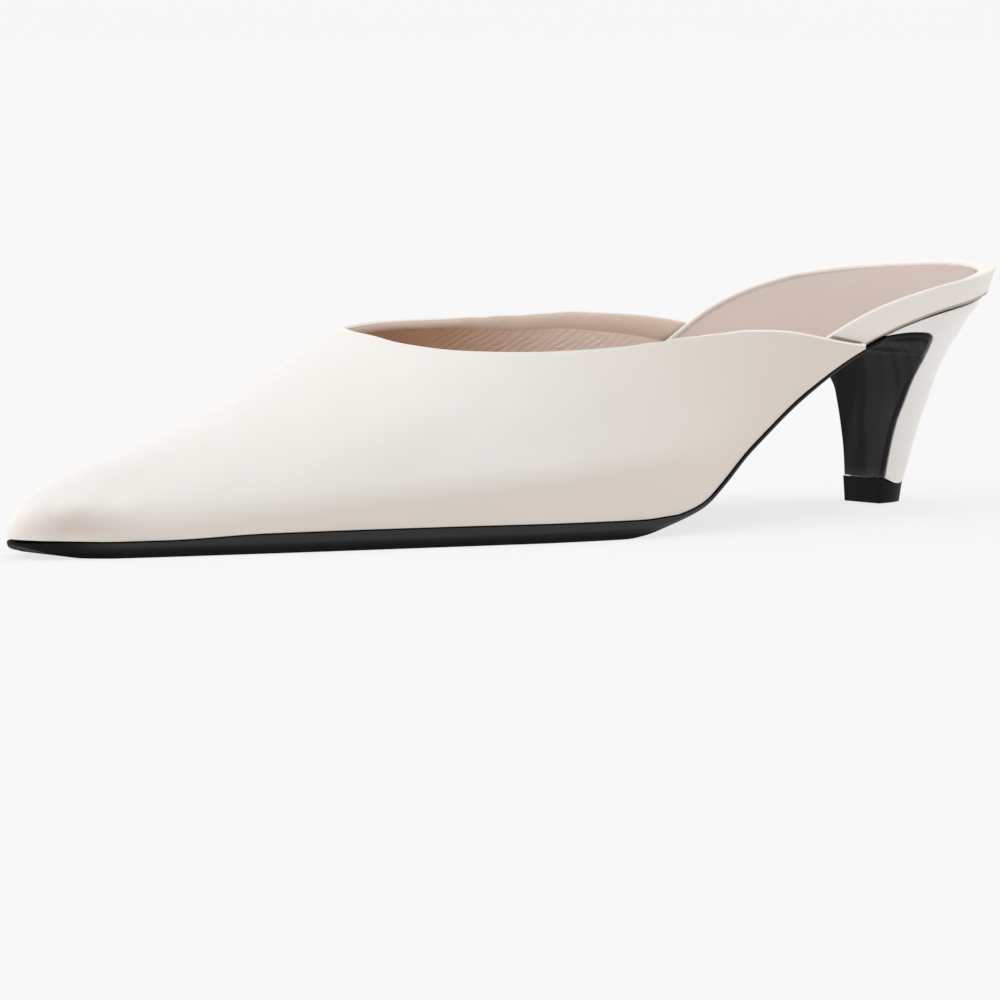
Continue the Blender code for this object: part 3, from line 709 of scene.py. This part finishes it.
def footbed_ring(station):
    """One cross section: covered edges rolled over the rim, and a shallow recess that takes the sock."""
    from_back = (1.0 - station) * LENGTH
    back_drop, back_rise = rolled(from_back, RIM_BEAD), rolled(from_back, SEAM_ROLL)
    inset = footbed_inset(station)
    x = station * LENGTH
    low = feather_height(station) - SEAM_CLOSES
    rims = {side: footbed_rim(station, side) for side in (-1, 1)}
    ends = {side: inner_half_width(station, side, inset) for side in (-1, 1)}
    limit = EDGE_ROUND_LIMIT * min(rims[-1] - low, *ends.values())
    turn = min(RIM_BEAD, limit)
    under = min(SEAM_ROLL, limit)
    tuck = FOOTBED_UNDERCUT * smooth_step((station - HEEL_FRONT) / (1.0 - HEEL_FRONT))
    recessed = station <= SOCK_LAST + CLEARANCE / LENGTH
    halves = []
    shores = []
    for side in (-1, 1):
        edge = side * ends[side]
        shores.append(side * min(recess_half_width(station, side), ends[side] - turn))
        inner = max(min(RIM_ROLL, limit, abs(edge - shores[-1]) - turn), 0.0) if recessed else 0.0
        half = []
        for out, back in QUARTER_ROUND:
            z = low + max(under * (1.0 - back), back_rise)
            half.append(place(x - tuck, edge - side * under * (1.0 - out), z))
        for out, back in QUARTER_ROUND:
            z = rims[side] - max(turn * (1.0 - out), back_drop)
            half.append(place(x, edge - side * turn * (1.0 - back), z))
        for out, back in QUARTER_ROUND:
            z = rims[side] - max(inner * (1.0 - back), back_drop)
            half.append(place(x, shores[-1] + side * inner * (1.0 - out), z))
        halves.append(half)
    lateral, medial = halves
    floor = []
    for step in range(SOLE_STRIPS + 1):
        share = 1.0 - step / SOLE_STRIPS
        y = shores[0] + (shores[1] - shores[0]) * share
        z = footbed_top(station, y) if recessed else footbed_rim(station, 0.0) - back_drop
        floor.append(place(x, y, z))
    return medial + floor + lateral[::-1]


def footbed_rings():
    front = FOOTBED_FRONT_SPACE / LENGTH
    stations = [front + (SOCK_FRONT - front) * (step / TOE_STATIONS) ** 2 for step in range(TOE_STATIONS)]
    stations += sock_stations()
    stations += [SOCK_LAST + CLEARANCE / LENGTH * times for times in (1.0, 2.0)]
    bare = 1.0 - stations[-1]
    stations += [1.0 - bare * (1.0 - step / RIM_STATIONS) ** 2 for step in range(1, RIM_STATIONS + 1)]
    return [footbed_ring(station) for station in stations]


def sock_rings():
    """Sections of the sock, with its cut edge rounded over and its middle lying in the footbed's dish."""
    rings = []
    for station in sock_stations():
        reach = min(SOCK_REACH, sock_half_width(station, 1))
        lateral, medial = -sock_half_width(station, -1) - reach, sock_half_width(station, 1) + reach
        ring = []
        for lift, strips in ((SOCK_THICKNESS, range(SOLE_STRIPS + 1)), (0.0, range(SOLE_STRIPS, -1, -1))):
            for strip in strips:
                y = lateral + (medial - lateral) * strip / SOLE_STRIPS
                from_edge = min(abs(y - lateral), abs(medial - y))
                z = footbed_top(station, y) + CLEARANCE + lift
                ring.append(place(station * LENGTH, y, z - rolled(from_edge, SOCK_EDGE_ROUND) if lift else z))
        rings.append(ring)
    return rings


def heel_top(x):
    return feather_height(x / LENGTH)


def heel_place(level, name):
    """X of the breast (front) or the back of the heel at a level."""
    start = HEEL_FRONT * LENGTH
    return start + HEEL_CURVES[name](level) * (LENGTH - start)


def heel_foot(part):
    """Height of the heel's foot, which dips into the top piece's cradle."""
    return TOP_PIECE_THICKNESS + CLEARANCE - TOP_PIECE_CRADLE * math.sin(math.pi * part)


def heel_outline(level, part, side):
    """Half breadth of the heel at a level, at a share of its depth behind the breast."""
    power = HEEL_CURVES["squareness"](level)
    breast = half_width(HEEL_FRONT, side)
    plain = breast * max(0.0, 1.0 - part**power) ** (1.0 / power)
    seat = half_width(HEEL_FRONT + part * (1.0 - HEEL_FRONT), side)
    mix = smooth_step(level / HEEL_BLEND)
    return side * HEEL_CURVES["width"](level) * (seat + (plain - seat) * mix)


def heel_point(level, part, side):
    x = heel_place(level, "front")
    x += part * (heel_place(level, "back") - x)
    z = (heel_top(x) - CLEARANCE) * (1.0 - level) + heel_foot(part) * level
    return x, heel_outline(level, part, side), z


def heel_levels():
    """Levels down the heel, closer together towards its top."""
    return [(number / HEEL_LEVELS) ** LEVEL_CROWDING for number in range(HEEL_LEVELS + 1)]


def breast_hollow(level):
    return BREAST_HOLLOW * smooth_step((level - HOLLOW_STARTS) / HOLLOW_RUN) * HEEL_CURVES["width"](level)


def heel_rings():
    rings = []
    for level in heel_levels():
        ring = []
        for side, count in ((-1, range(HEEL_STRIPS + 1)), (1, range(HEEL_STRIPS - 1, -1, -1))):
            for strip in count:
                part = math.sin(math.pi / 2.0 * strip / HEEL_STRIPS)
                ring.append(place(*heel_point(level, part, side)))
        lateral = heel_point(level, 0.0, -1)
        medial = heel_point(level, 0.0, 1)
        for strip in range(SOLE_STRIPS - 1, 0, -1):
            share = strip / SOLE_STRIPS
            y = lateral[1] + (medial[1] - lateral[1]) * share
            hollow = breast_hollow(level) * 4.0 * share * (1.0 - share)
            ring.append(place(lateral[0] + hollow, y, lateral[2]))
        rings.append(ring)
    return rings


def sole_path():
    """The hidden face of the sole and its flap: place, thickness, half widths and hollow at each step."""
    steps = []
    for station in spaced_stations(0.0, HEEL_FRONT - FLAP_BEND, SOLE_STATIONS):
        sink = CLEARANCE + CLEARANCE * smooth_step((station - SEAT_STARTS) / (HEEL_FRONT - SEAT_STARTS))
        sink += TOE_GAP * (1.0 - smooth_step(station / TOE_GAP_ENDS))
        margin = SOLE_MARGIN * smooth_step(station / SOLE_MARGIN_RUN)
        widths = [half_width(station, side) + margin for side in (-1, 1)]
        steps.append((station * LENGTH, feather_height(station) - sink, sole_thickness(station), widths, 0.0))
    for level in heel_levels():
        x, lateral, z = heel_point(level, 0.0, -1)
        medial = heel_point(level, 0.0, 1)[1]
        seat = sole_thickness(HEEL_FRONT)
        thick = seat + (FLAP_THICKNESS - seat) * smooth_step(level / FLAP_THINS)
        steps.append((x, z, thick, [-lateral - FLAP_MARGIN, medial - FLAP_MARGIN], breast_hollow(level)))
    return steps


def sole_rings():
    steps = sole_path()
    rings = []
    for index, (x, z, thick, widths, hollow) in enumerate(steps):
        before = steps[max(index - 1, 0)]
        after = steps[min(index + 1, len(steps) - 1)]
        run = Vector((after[0] - before[0], after[1] - before[1])).normalized()
        face = Vector((run.y, -run.x))
        if index > SOLE_STATIONS:
            x += face.x * CLEARANCE
            z += face.y * CLEARANCE
        bevel = min(SOLE_BEVEL * thick / SOLE_THICKNESS, BEVEL_LIMIT * sum(widths))
        ring = []
        for depth, inset, strips in (
            (0.0, 0.0, range(SOLE_STRIPS + 1)),
            (SOLE_SIDE_SHARE * thick, 0.0, (SOLE_STRIPS,)),
            (thick, bevel, range(SOLE_STRIPS, -1, -1)),
            (SOLE_SIDE_SHARE * thick, 0.0, (0,)),
        ):
            for strip in strips:
                share = strip / SOLE_STRIPS
                y = (inset - widths[0]) * (1.0 - share) + (widths[1] - inset) * share
                behind = hollow * 4.0 * share * (1.0 - share)
                ring.append(place(x + face.x * depth + behind, y, z + face.y * depth))
        rings.append(ring)
    return rings


def top_piece_rings():
    rings = []
    for foot in (0, 1):
        ring = []
        shrink = 1.0 - TOP_PIECE_TAPER * foot / heel_outline(1.0, 0.0, 1)
        start = heel_place(1.0, "front") - FLAP_THICKNESS - CLEARANCE
        depth = heel_place(1.0, "back") - start
        for side, count in ((-1, range(HEEL_STRIPS + 1)), (1, range(HEEL_STRIPS - 1, -1, -1))):
            for strip in count:
                part = math.sin(math.pi / 2.0 * strip / HEEL_STRIPS)
                y = heel_outline(1.0, part, side) * shrink
                top = heel_foot(part) - TOP_PIECE_SEAM
                ring.append(place(start + part * depth * shrink, y, 0.0 if foot else top))
        rings.append(ring)
    return rings


class Wire:
    """A socket that can be added, multiplied and so on, each time through one Math node."""

    def __init__(self, finish, socket):
        self.finish = finish
        self.socket = socket

    def _join(self, operation, *values):
        sockets = dict(enumerate(values))
        return self.finish.node("ShaderNodeMath", {"operation": operation}, sockets)

    def __add__(self, other):
        return self._join("ADD", self, other)

    def __radd__(self, other):
        return self._join("ADD", other, self)

    def __sub__(self, other):
        return self._join("SUBTRACT", self, other)

    def __rsub__(self, other):
        return self._join("SUBTRACT", other, self)

    def __mul__(self, other):
        return self._join("MULTIPLY", self, other)

    def __rmul__(self, other):
        return self._join("MULTIPLY", other, self)


class Finish:
    """One material or light, whose nodes all come from the same method."""

    def __init__(self, name, constants, kind=bpy.data.materials, shader="Principled BSDF", spot="Object"):
        self.material = kind.new(name)
        self.material.use_nodes = True
        self.tree = self.material.node_tree
        self.shader = self.tree.nodes[shader]
        for socket, value in constants.items():
            self.shader.inputs[socket].default_value = value
        self.spot = self.node("ShaderNodeTexCoord", out=spot)

    def node(self, kind, settings=None, sockets=None, out=0):
        """A node of a type with its settings made first, then its sockets' values and links."""
        item = self.tree.nodes.new(kind)
        for setting, value in (settings or {}).items():
            setattr(item, setting, value)
        for socket, value in (sockets or {}).items():
            if isinstance(value, Wire):
                self.tree.links.new(value.socket, item.inputs[socket])
            else:
                item.inputs[socket].default_value = value
        return Wire(self, item.outputs[out])

    def noise(self, scale, detail=3.0, roughness=0.5, spot=None):
        sockets = {"Vector": spot or self.spot, "Scale": scale, "Detail": detail, "Roughness": roughness}
        return self.node("ShaderNodeTexNoise", {}, sockets)

    def cells(self, scale):
        return self.node("ShaderNodeTexVoronoi", {}, {"Vector": self.spot, "Scale": scale}, "Distance")

    def part(self, axis):
        """One coordinate of the place on the shoe, in metres."""
        return self.node("ShaderNodeSeparateXYZ", {}, {0: self.spot}, axis)

    def fade(self, value, start, end):
        """A value that goes softly from 0 at start to 1 at end."""
        sockets = {"Value": value, "From Min": start, "From Max": end}
        return self.node("ShaderNodeMapRange", {"interpolation_type": "SMOOTHSTEP"}, sockets)

    def blend(self, factor, first, second):
        """A colour between two colours."""
        sockets = {0: factor, 6: first, 7: second}
        return self.node("ShaderNodeMix", {"data_type": "RGBA"}, sockets, 2)

    def towards(self, direction):
        """How far a place or a direction lies along another direction."""
        sockets = {0: self.spot, 1: direction}
        return self.node("ShaderNodeVectorMath", {"operation": "DOT_PRODUCT"}, sockets, "Value")

    def squeezed(self, scale):
        """The place on the shoe, stretched by a factor on each axis."""
        return self.node("ShaderNodeVectorMath", {"operation": "MULTIPLY"}, {0: self.spot, 1: scale})

    def relief(self, height, distance, strength=1.0, over=None):
        sockets = {"Height": height, "Distance": distance, "Strength": strength}
        if over:
            sockets["Normal"] = over
        return self.node("ShaderNodeBump", {}, sockets)

    def feed(self, **links):
        """Link what varies over the surface to the shader."""
        for name, value in links.items():
            self.tree.links.new(value.socket, self.shader.inputs[name.replace("_", " ").title()])
        return self.material


def rgba(red, green, blue):
    return (red, green, blue, 1.0)


def fine_grain(finish, pebble, fold):
    """Height of smooth calf: closed pores, a faint pebble and slow unevenness."""
    pores = finish.cells(pebble)
    hair = finish.noise(pebble * 2.3, 2.0)
    slow = finish.noise(fold, 2.0)
    return pores * 0.55 + hair * 0.25 + slow * 0.2


def ivory_calf(name, light, shade, rough=0.40, coat=0.12):
    """Smooth satin ivory leather: its finish, its slowly changing tone and roughness, and its relief."""
    touch = {"Coat Weight": coat, "Coat Roughness": 0.32, "Sheen Weight": 0.08, "Sheen Roughness": 0.5}
    finish = Finish(name, touch)
    slow = finish.noise(22.0, 4.0, 0.6)
    mottle = finish.noise(160.0, 3.0)
    tone = finish.fade(slow * 0.7 + mottle * 0.3, 0.36, 0.66)
    colour = finish.blend(tone, rgba(*shade), rgba(*light))
    gloss = finish.noise(95.0, 3.0)
    normal = finish.relief(fine_grain(finish, 1500.0, 60.0), 0.00006, 0.5)
    return finish, colour, gloss * 0.10 + rough - 0.05, normal


def plain_ivory(name, light, shade, **touch):
    finish, colour, rough, normal = ivory_calf(name, light, shade, **touch)
    return finish.feed(base_color=colour, roughness=rough, normal=normal)


def upper_finish():
    """Ivory with painted shade: darker and warmer low on the sides, where the leather turns under, and back
    along the quarters, which face away from the light; the vamp's top stays whiter.
    """
    light, shade = (0.860, 0.830, 0.800), (0.835, 0.800, 0.765)
    finish, colour, rough, normal = ivory_calf("ivory_upper_calf", light, shade)
    along, across, high = finish.part("X"), finish.part("Y"), finish.part("Z")
    high_on_last = high - (along + LENGTH / 2.0) * 0.08
    # Painted shade, coloured into the leather: darker and warmer low on the sides, where the leather turns
    # under, and towards the heel, where the quarters face away from the light.
    low = 1.0 - finish.fade(high_on_last, 0.0020, 0.0090)
    back = finish.fade(along, -0.042, 0.050)
    painted_shade = 1.0 - (1.0 - low * 0.85) * (1.0 - back)
    colour = finish.blend(painted_shade, colour, rgba(0.710, 0.638, 0.565))
    # A mottled brownish darker spot low on the toe tip, which is also a little rougher.
    toe_spot_mottle = finish.noise(90.0, 3.0, 0.5)
    toe = (1.0 - finish.fade(along, -0.121, -0.098)) * (1.0 - finish.fade(across, -0.004, 0.004))
    toe_spot_height = finish.fade(high, 0.0030, 0.0062) * (1.0 - finish.fade(high, 0.0075, 0.0115))
    toe_spot = finish.fade(toe_spot_mottle, 0.15, 0.65) * toe * toe_spot_height
    colour = finish.blend(toe_spot * 0.60, colour, rgba(0.50, 0.375, 0.330))
    return finish.feed(base_color=colour, roughness=rough + toe_spot * 0.12, normal=normal)


def rand_finish():
    """Ivory like the upper's, with a painted brown shadow of the gap where the lateral tail ends."""
    light, shade = (0.815, 0.765, 0.720), (0.785, 0.735, 0.685)
    finish, colour, rough, normal = ivory_calf("ivory_rand_calf", light, shade)
    along, across = finish.part("X"), finish.part("Y")
    # Painted shadow: dark brown on the rand just above the lateral tail's end, where the tail stands off the
    # rand.
    above_tail = finish.part("Z") - TAIL_LINE_HEIGHT + (along - TAIL_LINE_START) * TAIL_LINE_FALL
    gap_shadow = finish.fade(along, 0.060, 0.066) * (1.0 - finish.fade(along, 0.0715, 0.0730))
    gap_shadow = gap_shadow * (1.0 - finish.fade(above_tail, 0.0003, 0.0008)) * (1.0 - finish.fade(across, -0.010, 0.0))
    colour = finish.blend(gap_shadow * 0.85, colour, rgba(0.17, 0.115, 0.080))
    return finish.feed(base_color=colour, roughness=rough, normal=normal)


def blush_leather(name, light, shade):
    """Matt blush lining leather with a short nap: its finish, tone, nap and relief."""
    finish = Finish(name, {"Sheen Weight": 0.12, "Sheen Roughness": 0.6, "Coat Weight": 0.0})
    slow = finish.noise(30.0, 4.0, 0.6)
    nap = finish.noise(2200.0, 3.0, 0.6)
    tone = finish.fade(slow * 0.75 + nap * 0.25, 0.35, 0.65)
    colour = finish.blend(tone, rgba(*shade), rgba(*light))
    return finish, colour, nap, finish.relief(fine_grain(finish, 1900.0, 90.0), 0.00007, 0.6)


def blush_finish(name, light, shade):
    finish, colour, nap, normal = blush_leather(name, light, shade)
    return finish.feed(base_color=colour, roughness=nap * 0.10 + 0.56, normal=normal)


def lining_finish():
    """Lining painted darker brown in the throat as shade under the overhang and lighter towards the back
    where light falls, with fine slanting creases where the quarters bend.
    """
    finish, colour, nap, normal = blush_leather("blush_lining", (0.66, 0.400, 0.250), (0.59, 0.345, 0.210))
    along = finish.part("X")
    # Painted light and shade: darker brown in the throat under the overhang, lighter towards the open back.
    painted_light = finish.fade(along, -0.012, 0.040)
    colour = finish.blend(painted_light, colour, rgba(0.86, 0.72, 0.64))
    stripes = {"wave_type": "BANDS", "bands_direction": "DIAGONAL"}
    sockets = {"Vector": finish.squeezed((1.0, 0.2, -1.6)), "Scale": 230.0, "Distortion": 4.0, "Detail": 3.0}
    slanted = finish.node("ShaderNodeTexWave", stripes, sockets)
    bend = finish.fade(along, -0.035, -0.005) * (1.0 - finish.fade(along, 0.030, 0.062))
    patches = finish.fade(finish.noise(110.0, 2.0), 0.25, 0.60)
    normal = finish.relief(slanted * bend * patches, 0.00020, 0.8, normal)
    return finish.feed(base_color=colour, roughness=nap * 0.10 + 0.56, normal=normal)


def black_sole_finish():
    """Polished black sole: a glossier side edge, painted lighter grey as its lit sheen, a dull tread, and
    ripples in the shine down the heel's front.
    """
    finish = Finish("polished_black_sole", {"Coat Roughness": 0.14, "Specular IOR Level": 0.10})
    slow = finish.noise(45.0, 4.0, 0.6)
    streak = finish.noise(1.0, 3.0, 0.5, finish.squeezed((40.0, 900.0, 900.0)))
    along, high = finish.part("X"), finish.part("Z")
    ripple = finish.noise(1.0, 1.0, 0.4, finish.squeezed((20.0, 210.0, 26.0)))
    flap = finish.fade(along, 0.070, 0.080)
    tread = (1.0 - finish.fade(high, 0.0008, 0.0016)) * (1.0 - flap)
    behind_tip = finish.fade(along, -0.120, -0.106)
    # Painted highlight: the side edge behind the toe tip is coloured lighter grey, as the sheen of its lit
    # face.
    edge = finish.fade(high, 0.0014, 0.0025) * (1.0 - finish.fade(high, 0.0050, 0.0080)) * behind_tip
    colour = finish.blend(slow, rgba(0.004, 0.004, 0.004), rgba(0.008, 0.008, 0.008))
    colour = finish.blend(edge, colour, rgba(0.030, 0.029, 0.029))
    rough = slow * 0.10 + streak * 0.08 + tread * 0.50 - behind_tip * 0.40 + 0.62
    normal = finish.relief(streak * 0.5 + slow * 0.5, 0.00005, 0.35)
    shine = finish.fade(ripple, 0.40, 0.62) * flap * 0.15 + edge * 0.12 + 0.01
    return finish.feed(base_color=colour, roughness=rough, coat_weight=shine * (1.0 - tread), normal=normal)


def rubber_finish():
    """Semi-matt black rubber with a fine moulded grain."""
    finish = Finish("black_top_piece_rubber", {"Coat Weight": 0.0, "Specular IOR Level": 0.08})
    grain = finish.noise(2600.0, 3.0, 0.6)
    slow = finish.noise(160.0, 3.0)
    colour = finish.blend(slow, rgba(0.003, 0.003, 0.003), rgba(0.007, 0.007, 0.007))
    relief = finish.relief(grain, 0.00006, 0.5)
    return finish.feed(base_color=colour, roughness=grain * 0.15 + 0.42, normal=relief)


def fold_finish_at(index):
    """The folded edge over the top of the leather's section takes the lighter finish, a painted highlight."""
    return 1 if UPPER_ROWS <= index < UPPER_ROWS + FOLD_STEPS else 0


def rand_finish_at(index):
    """From its underside up: the turned-in edge painted dark as the seam's shade, the plain side and the rim
    painted bright as a highlight, then the same back.
    """
    side = RIM_STEPS + 1
    count = 6 * side + SOLE_STRIPS + 1
    index = min(index, count - 2 - index) if index < count - 1 else side
    if index < RIM_STEPS:
        return 2
    return 1 if side <= index < 3 * side - 1 else 0


def build_shoe():
    strips = upper_strips()
    # Painted highlight: the folded topline edge and the footbed's rim are coloured lighter than the leather,
    # as the bright line along them.
    fold = plain_ivory("fold_painted_highlight", (0.940, 0.880, 0.835), (0.910, 0.845, 0.795))
    upper = skin([leather_ring(strip) for strip in strips], fold_finish_at)
    new_piece("upper_calf", upper, (upper_finish(), fold), ("upper",))
    lining = skin([lining_ring(strip) for strip in strips])
    new_piece("upper_lining", lining, (lining_finish(),), ())
    facing = skin([facing_ring(strip) for strip in strips])
    blush = blush_finish("blush_facing", (0.80, 0.64, 0.535), (0.76, 0.60, 0.495))
    new_piece("topline_facing", facing, (blush,), ())
    rand = skin(footbed_rings(), rand_finish_at)
    # Painted shade: the rand's underside round, along the seam over the heel, is coloured dark brownish grey
    # as the shade in the groove.
    turned = plain_ivory("seam_painted_shade", (0.470, 0.410, 0.360), (0.400, 0.345, 0.300), rough=0.55, coat=0.0)
    new_piece("covered_footbed", rand, (rand_finish(), fold, turned), ("footbed",))
    blush = blush_finish("blush_sock", (0.545, 0.425, 0.365), (0.505, 0.390, 0.335))
    new_piece("stuck_sock", skin(sock_rings()), (blush,), ("sock",))
    black = black_sole_finish()
    sole = new_piece("polished_sole", skin(sole_rings()), (black,), ("outsole",))
    round_edges(sole, SOLE_EDGE_ROUND, 30.0)
    light, shade = (0.800, 0.770, 0.735), (0.770, 0.735, 0.700)
    cover = plain_ivory("ivory_heel_cover", light, shade, rough=0.34, coat=0.22)
    heel = new_piece("covered_heel", skin(heel_rings()), (cover,), ("heel",))
    round_edges(heel, SEAM_ROUND, 40.0)
    rubber = rubber_finish()
    foot = new_piece("top_lift", skin(top_piece_rings()), (rubber,), ("top_piece",))
    round_edges(foot, TOP_PIECE_ROUND, 40.0)


# The camera's place round the shoe, in degrees, metres and pixels of a frame 1000 wide
VIEW_TURN = 39.0
VIEW_RISE = 3.58
VIEW_DISTANCE = 1.2
VIEW_FOCUS = 5862.0
VIEW_CENTRE = (519.4, 403.3)
VIEW_TARGET = Vector((0.0, 0.00254, 0.025))
FRAME_SIDE = 1000.0

# The studio's light, with heights given as sines, and the side that is dim turned from the camera's
HORIZON_LIGHT = 0.93
HORIZON_ENDS = 0.03
SIDES_START = 0.16
SIDE_LIGHT = 1.10
CEILING_STARTS = 0.25
CEILING_LIGHT = 0.72
DIM_TURN = 45.0
DIM_STARTS = 0.25
DIM_SHARE = 0.56
FLOOR_TONE = 0.17
FLOOR_GLOW = 0.755
SENSOR = 36.0

turn = math.radians(VIEW_TURN)
rise = math.radians(VIEW_RISE)
TOWARDS_CAMERA = Vector((-math.sin(turn) * math.cos(rise), -math.cos(turn) * math.cos(rise), math.sin(rise)))
TO_THE_RIGHT = Vector((math.cos(turn), -math.sin(turn), 0.0))
dim_turn = math.radians(VIEW_TURN - DIM_TURN)
DIM_SIDE = Vector((-math.sin(dim_turn), -math.cos(dim_turn), 0.0))


def set_camera():
    lens = bpy.data.cameras.new("photo_camera")
    lens.sensor_width = SENSOR
    lens.lens = VIEW_FOCUS * SENSOR / FRAME_SIDE
    lens.shift_x = (FRAME_SIDE / 2.0 - VIEW_CENTRE[0]) / FRAME_SIDE
    lens.shift_y = (VIEW_CENTRE[1] - FRAME_SIDE / 2.0) / FRAME_SIDE
    lens.clip_start = 0.01
    camera = bpy.data.objects.new("photo_camera", lens)
    camera.location = VIEW_TARGET + TOWARDS_CAMERA * VIEW_DISTANCE
    camera.rotation_euler = TOWARDS_CAMERA.to_track_quat("Z", "Y").to_euler()
    bpy.context.scene.collection.objects.link(camera)
    bpy.context.scene.camera = camera


def set_sun(name, sideways, forward, up, strength, spread, colour):
    """A broad soft lamp, placed by shares to the camera's right, towards the camera and up."""
    lamp = bpy.data.lights.new(name, "SUN")
    lamp.energy = strength
    lamp.angle = math.radians(spread)
    lamp.color = colour
    item = bpy.data.objects.new(name, lamp)
    flat = Vector((TOWARDS_CAMERA.x, TOWARDS_CAMERA.y, 0.0)).normalized()
    direction = TO_THE_RIGHT * sideways + flat * forward + Vector((0.0, 0.0, up))
    item.rotation_euler = direction.to_track_quat("Z", "Y").to_euler()
    bpy.context.scene.collection.objects.link(item)


def set_sky():
    """White all round the horizon, bright to the left and right, and dimmer in front of the camera's side."""
    sky = Finish("studio", {"Color": rgba(1.0, 1.0, 1.0)}, bpy.data.worlds, "Background", "Generated")
    high = sky.part("Z")
    above = sky.fade(high, HORIZON_ENDS, SIDES_START)
    facing = sky.fade(sky.towards(DIM_SIDE), DIM_STARTS, 1.0)
    ceiling = sky.fade(high, CEILING_STARTS, 1.0)
    light = SIDE_LIGHT - ceiling * (SIDE_LIGHT - CEILING_LIGHT) - facing * DIM_SHARE
    sky.feed(strength=HORIZON_LIGHT + above * (light - HORIZON_LIGHT))
    bpy.context.scene.world = sky.material


def set_stage():
    """Pale floor, which glows a little as a lit table does, broad lamps and a bright horizon."""
    bm = bmesh.new()
    bmesh.ops.create_grid(bm, x_segments=1, y_segments=1, size=60.0)
    mesh = bpy.data.meshes.new("pale_floor")
    bm.to_mesh(mesh)
    bm.free()
    floor = bpy.data.objects.new("pale_floor", mesh)
    bpy.context.scene.collection.objects.link(floor)
    glow = {"Emission Color": rgba(1.0, 1.0, 1.0), "Emission Strength": FLOOR_GLOW}
    paper = Finish("pale_paper", {"Roughness": 0.9, "Specular IOR Level": 0.0, **glow})
    tone = rgba(FLOOR_TONE, FLOOR_TONE, FLOOR_TONE)
    mesh.materials.append(paper.feed(base_color=paper.blend(paper.noise(3.0, 2.0), tone, tone)))
    set_sky()
    set_sun("overhead_left", -0.60, 0.25, 0.80, 0.90, 60.0, (1.0, 1.0, 1.0))
    set_sun("low_right", 0.95, -0.05, 0.35, 0.45, 70.0, (1.0, 1.0, 1.0))
    bpy.context.scene.view_settings.view_transform = "Standard"


build_shoe()
set_camera()
set_stage()
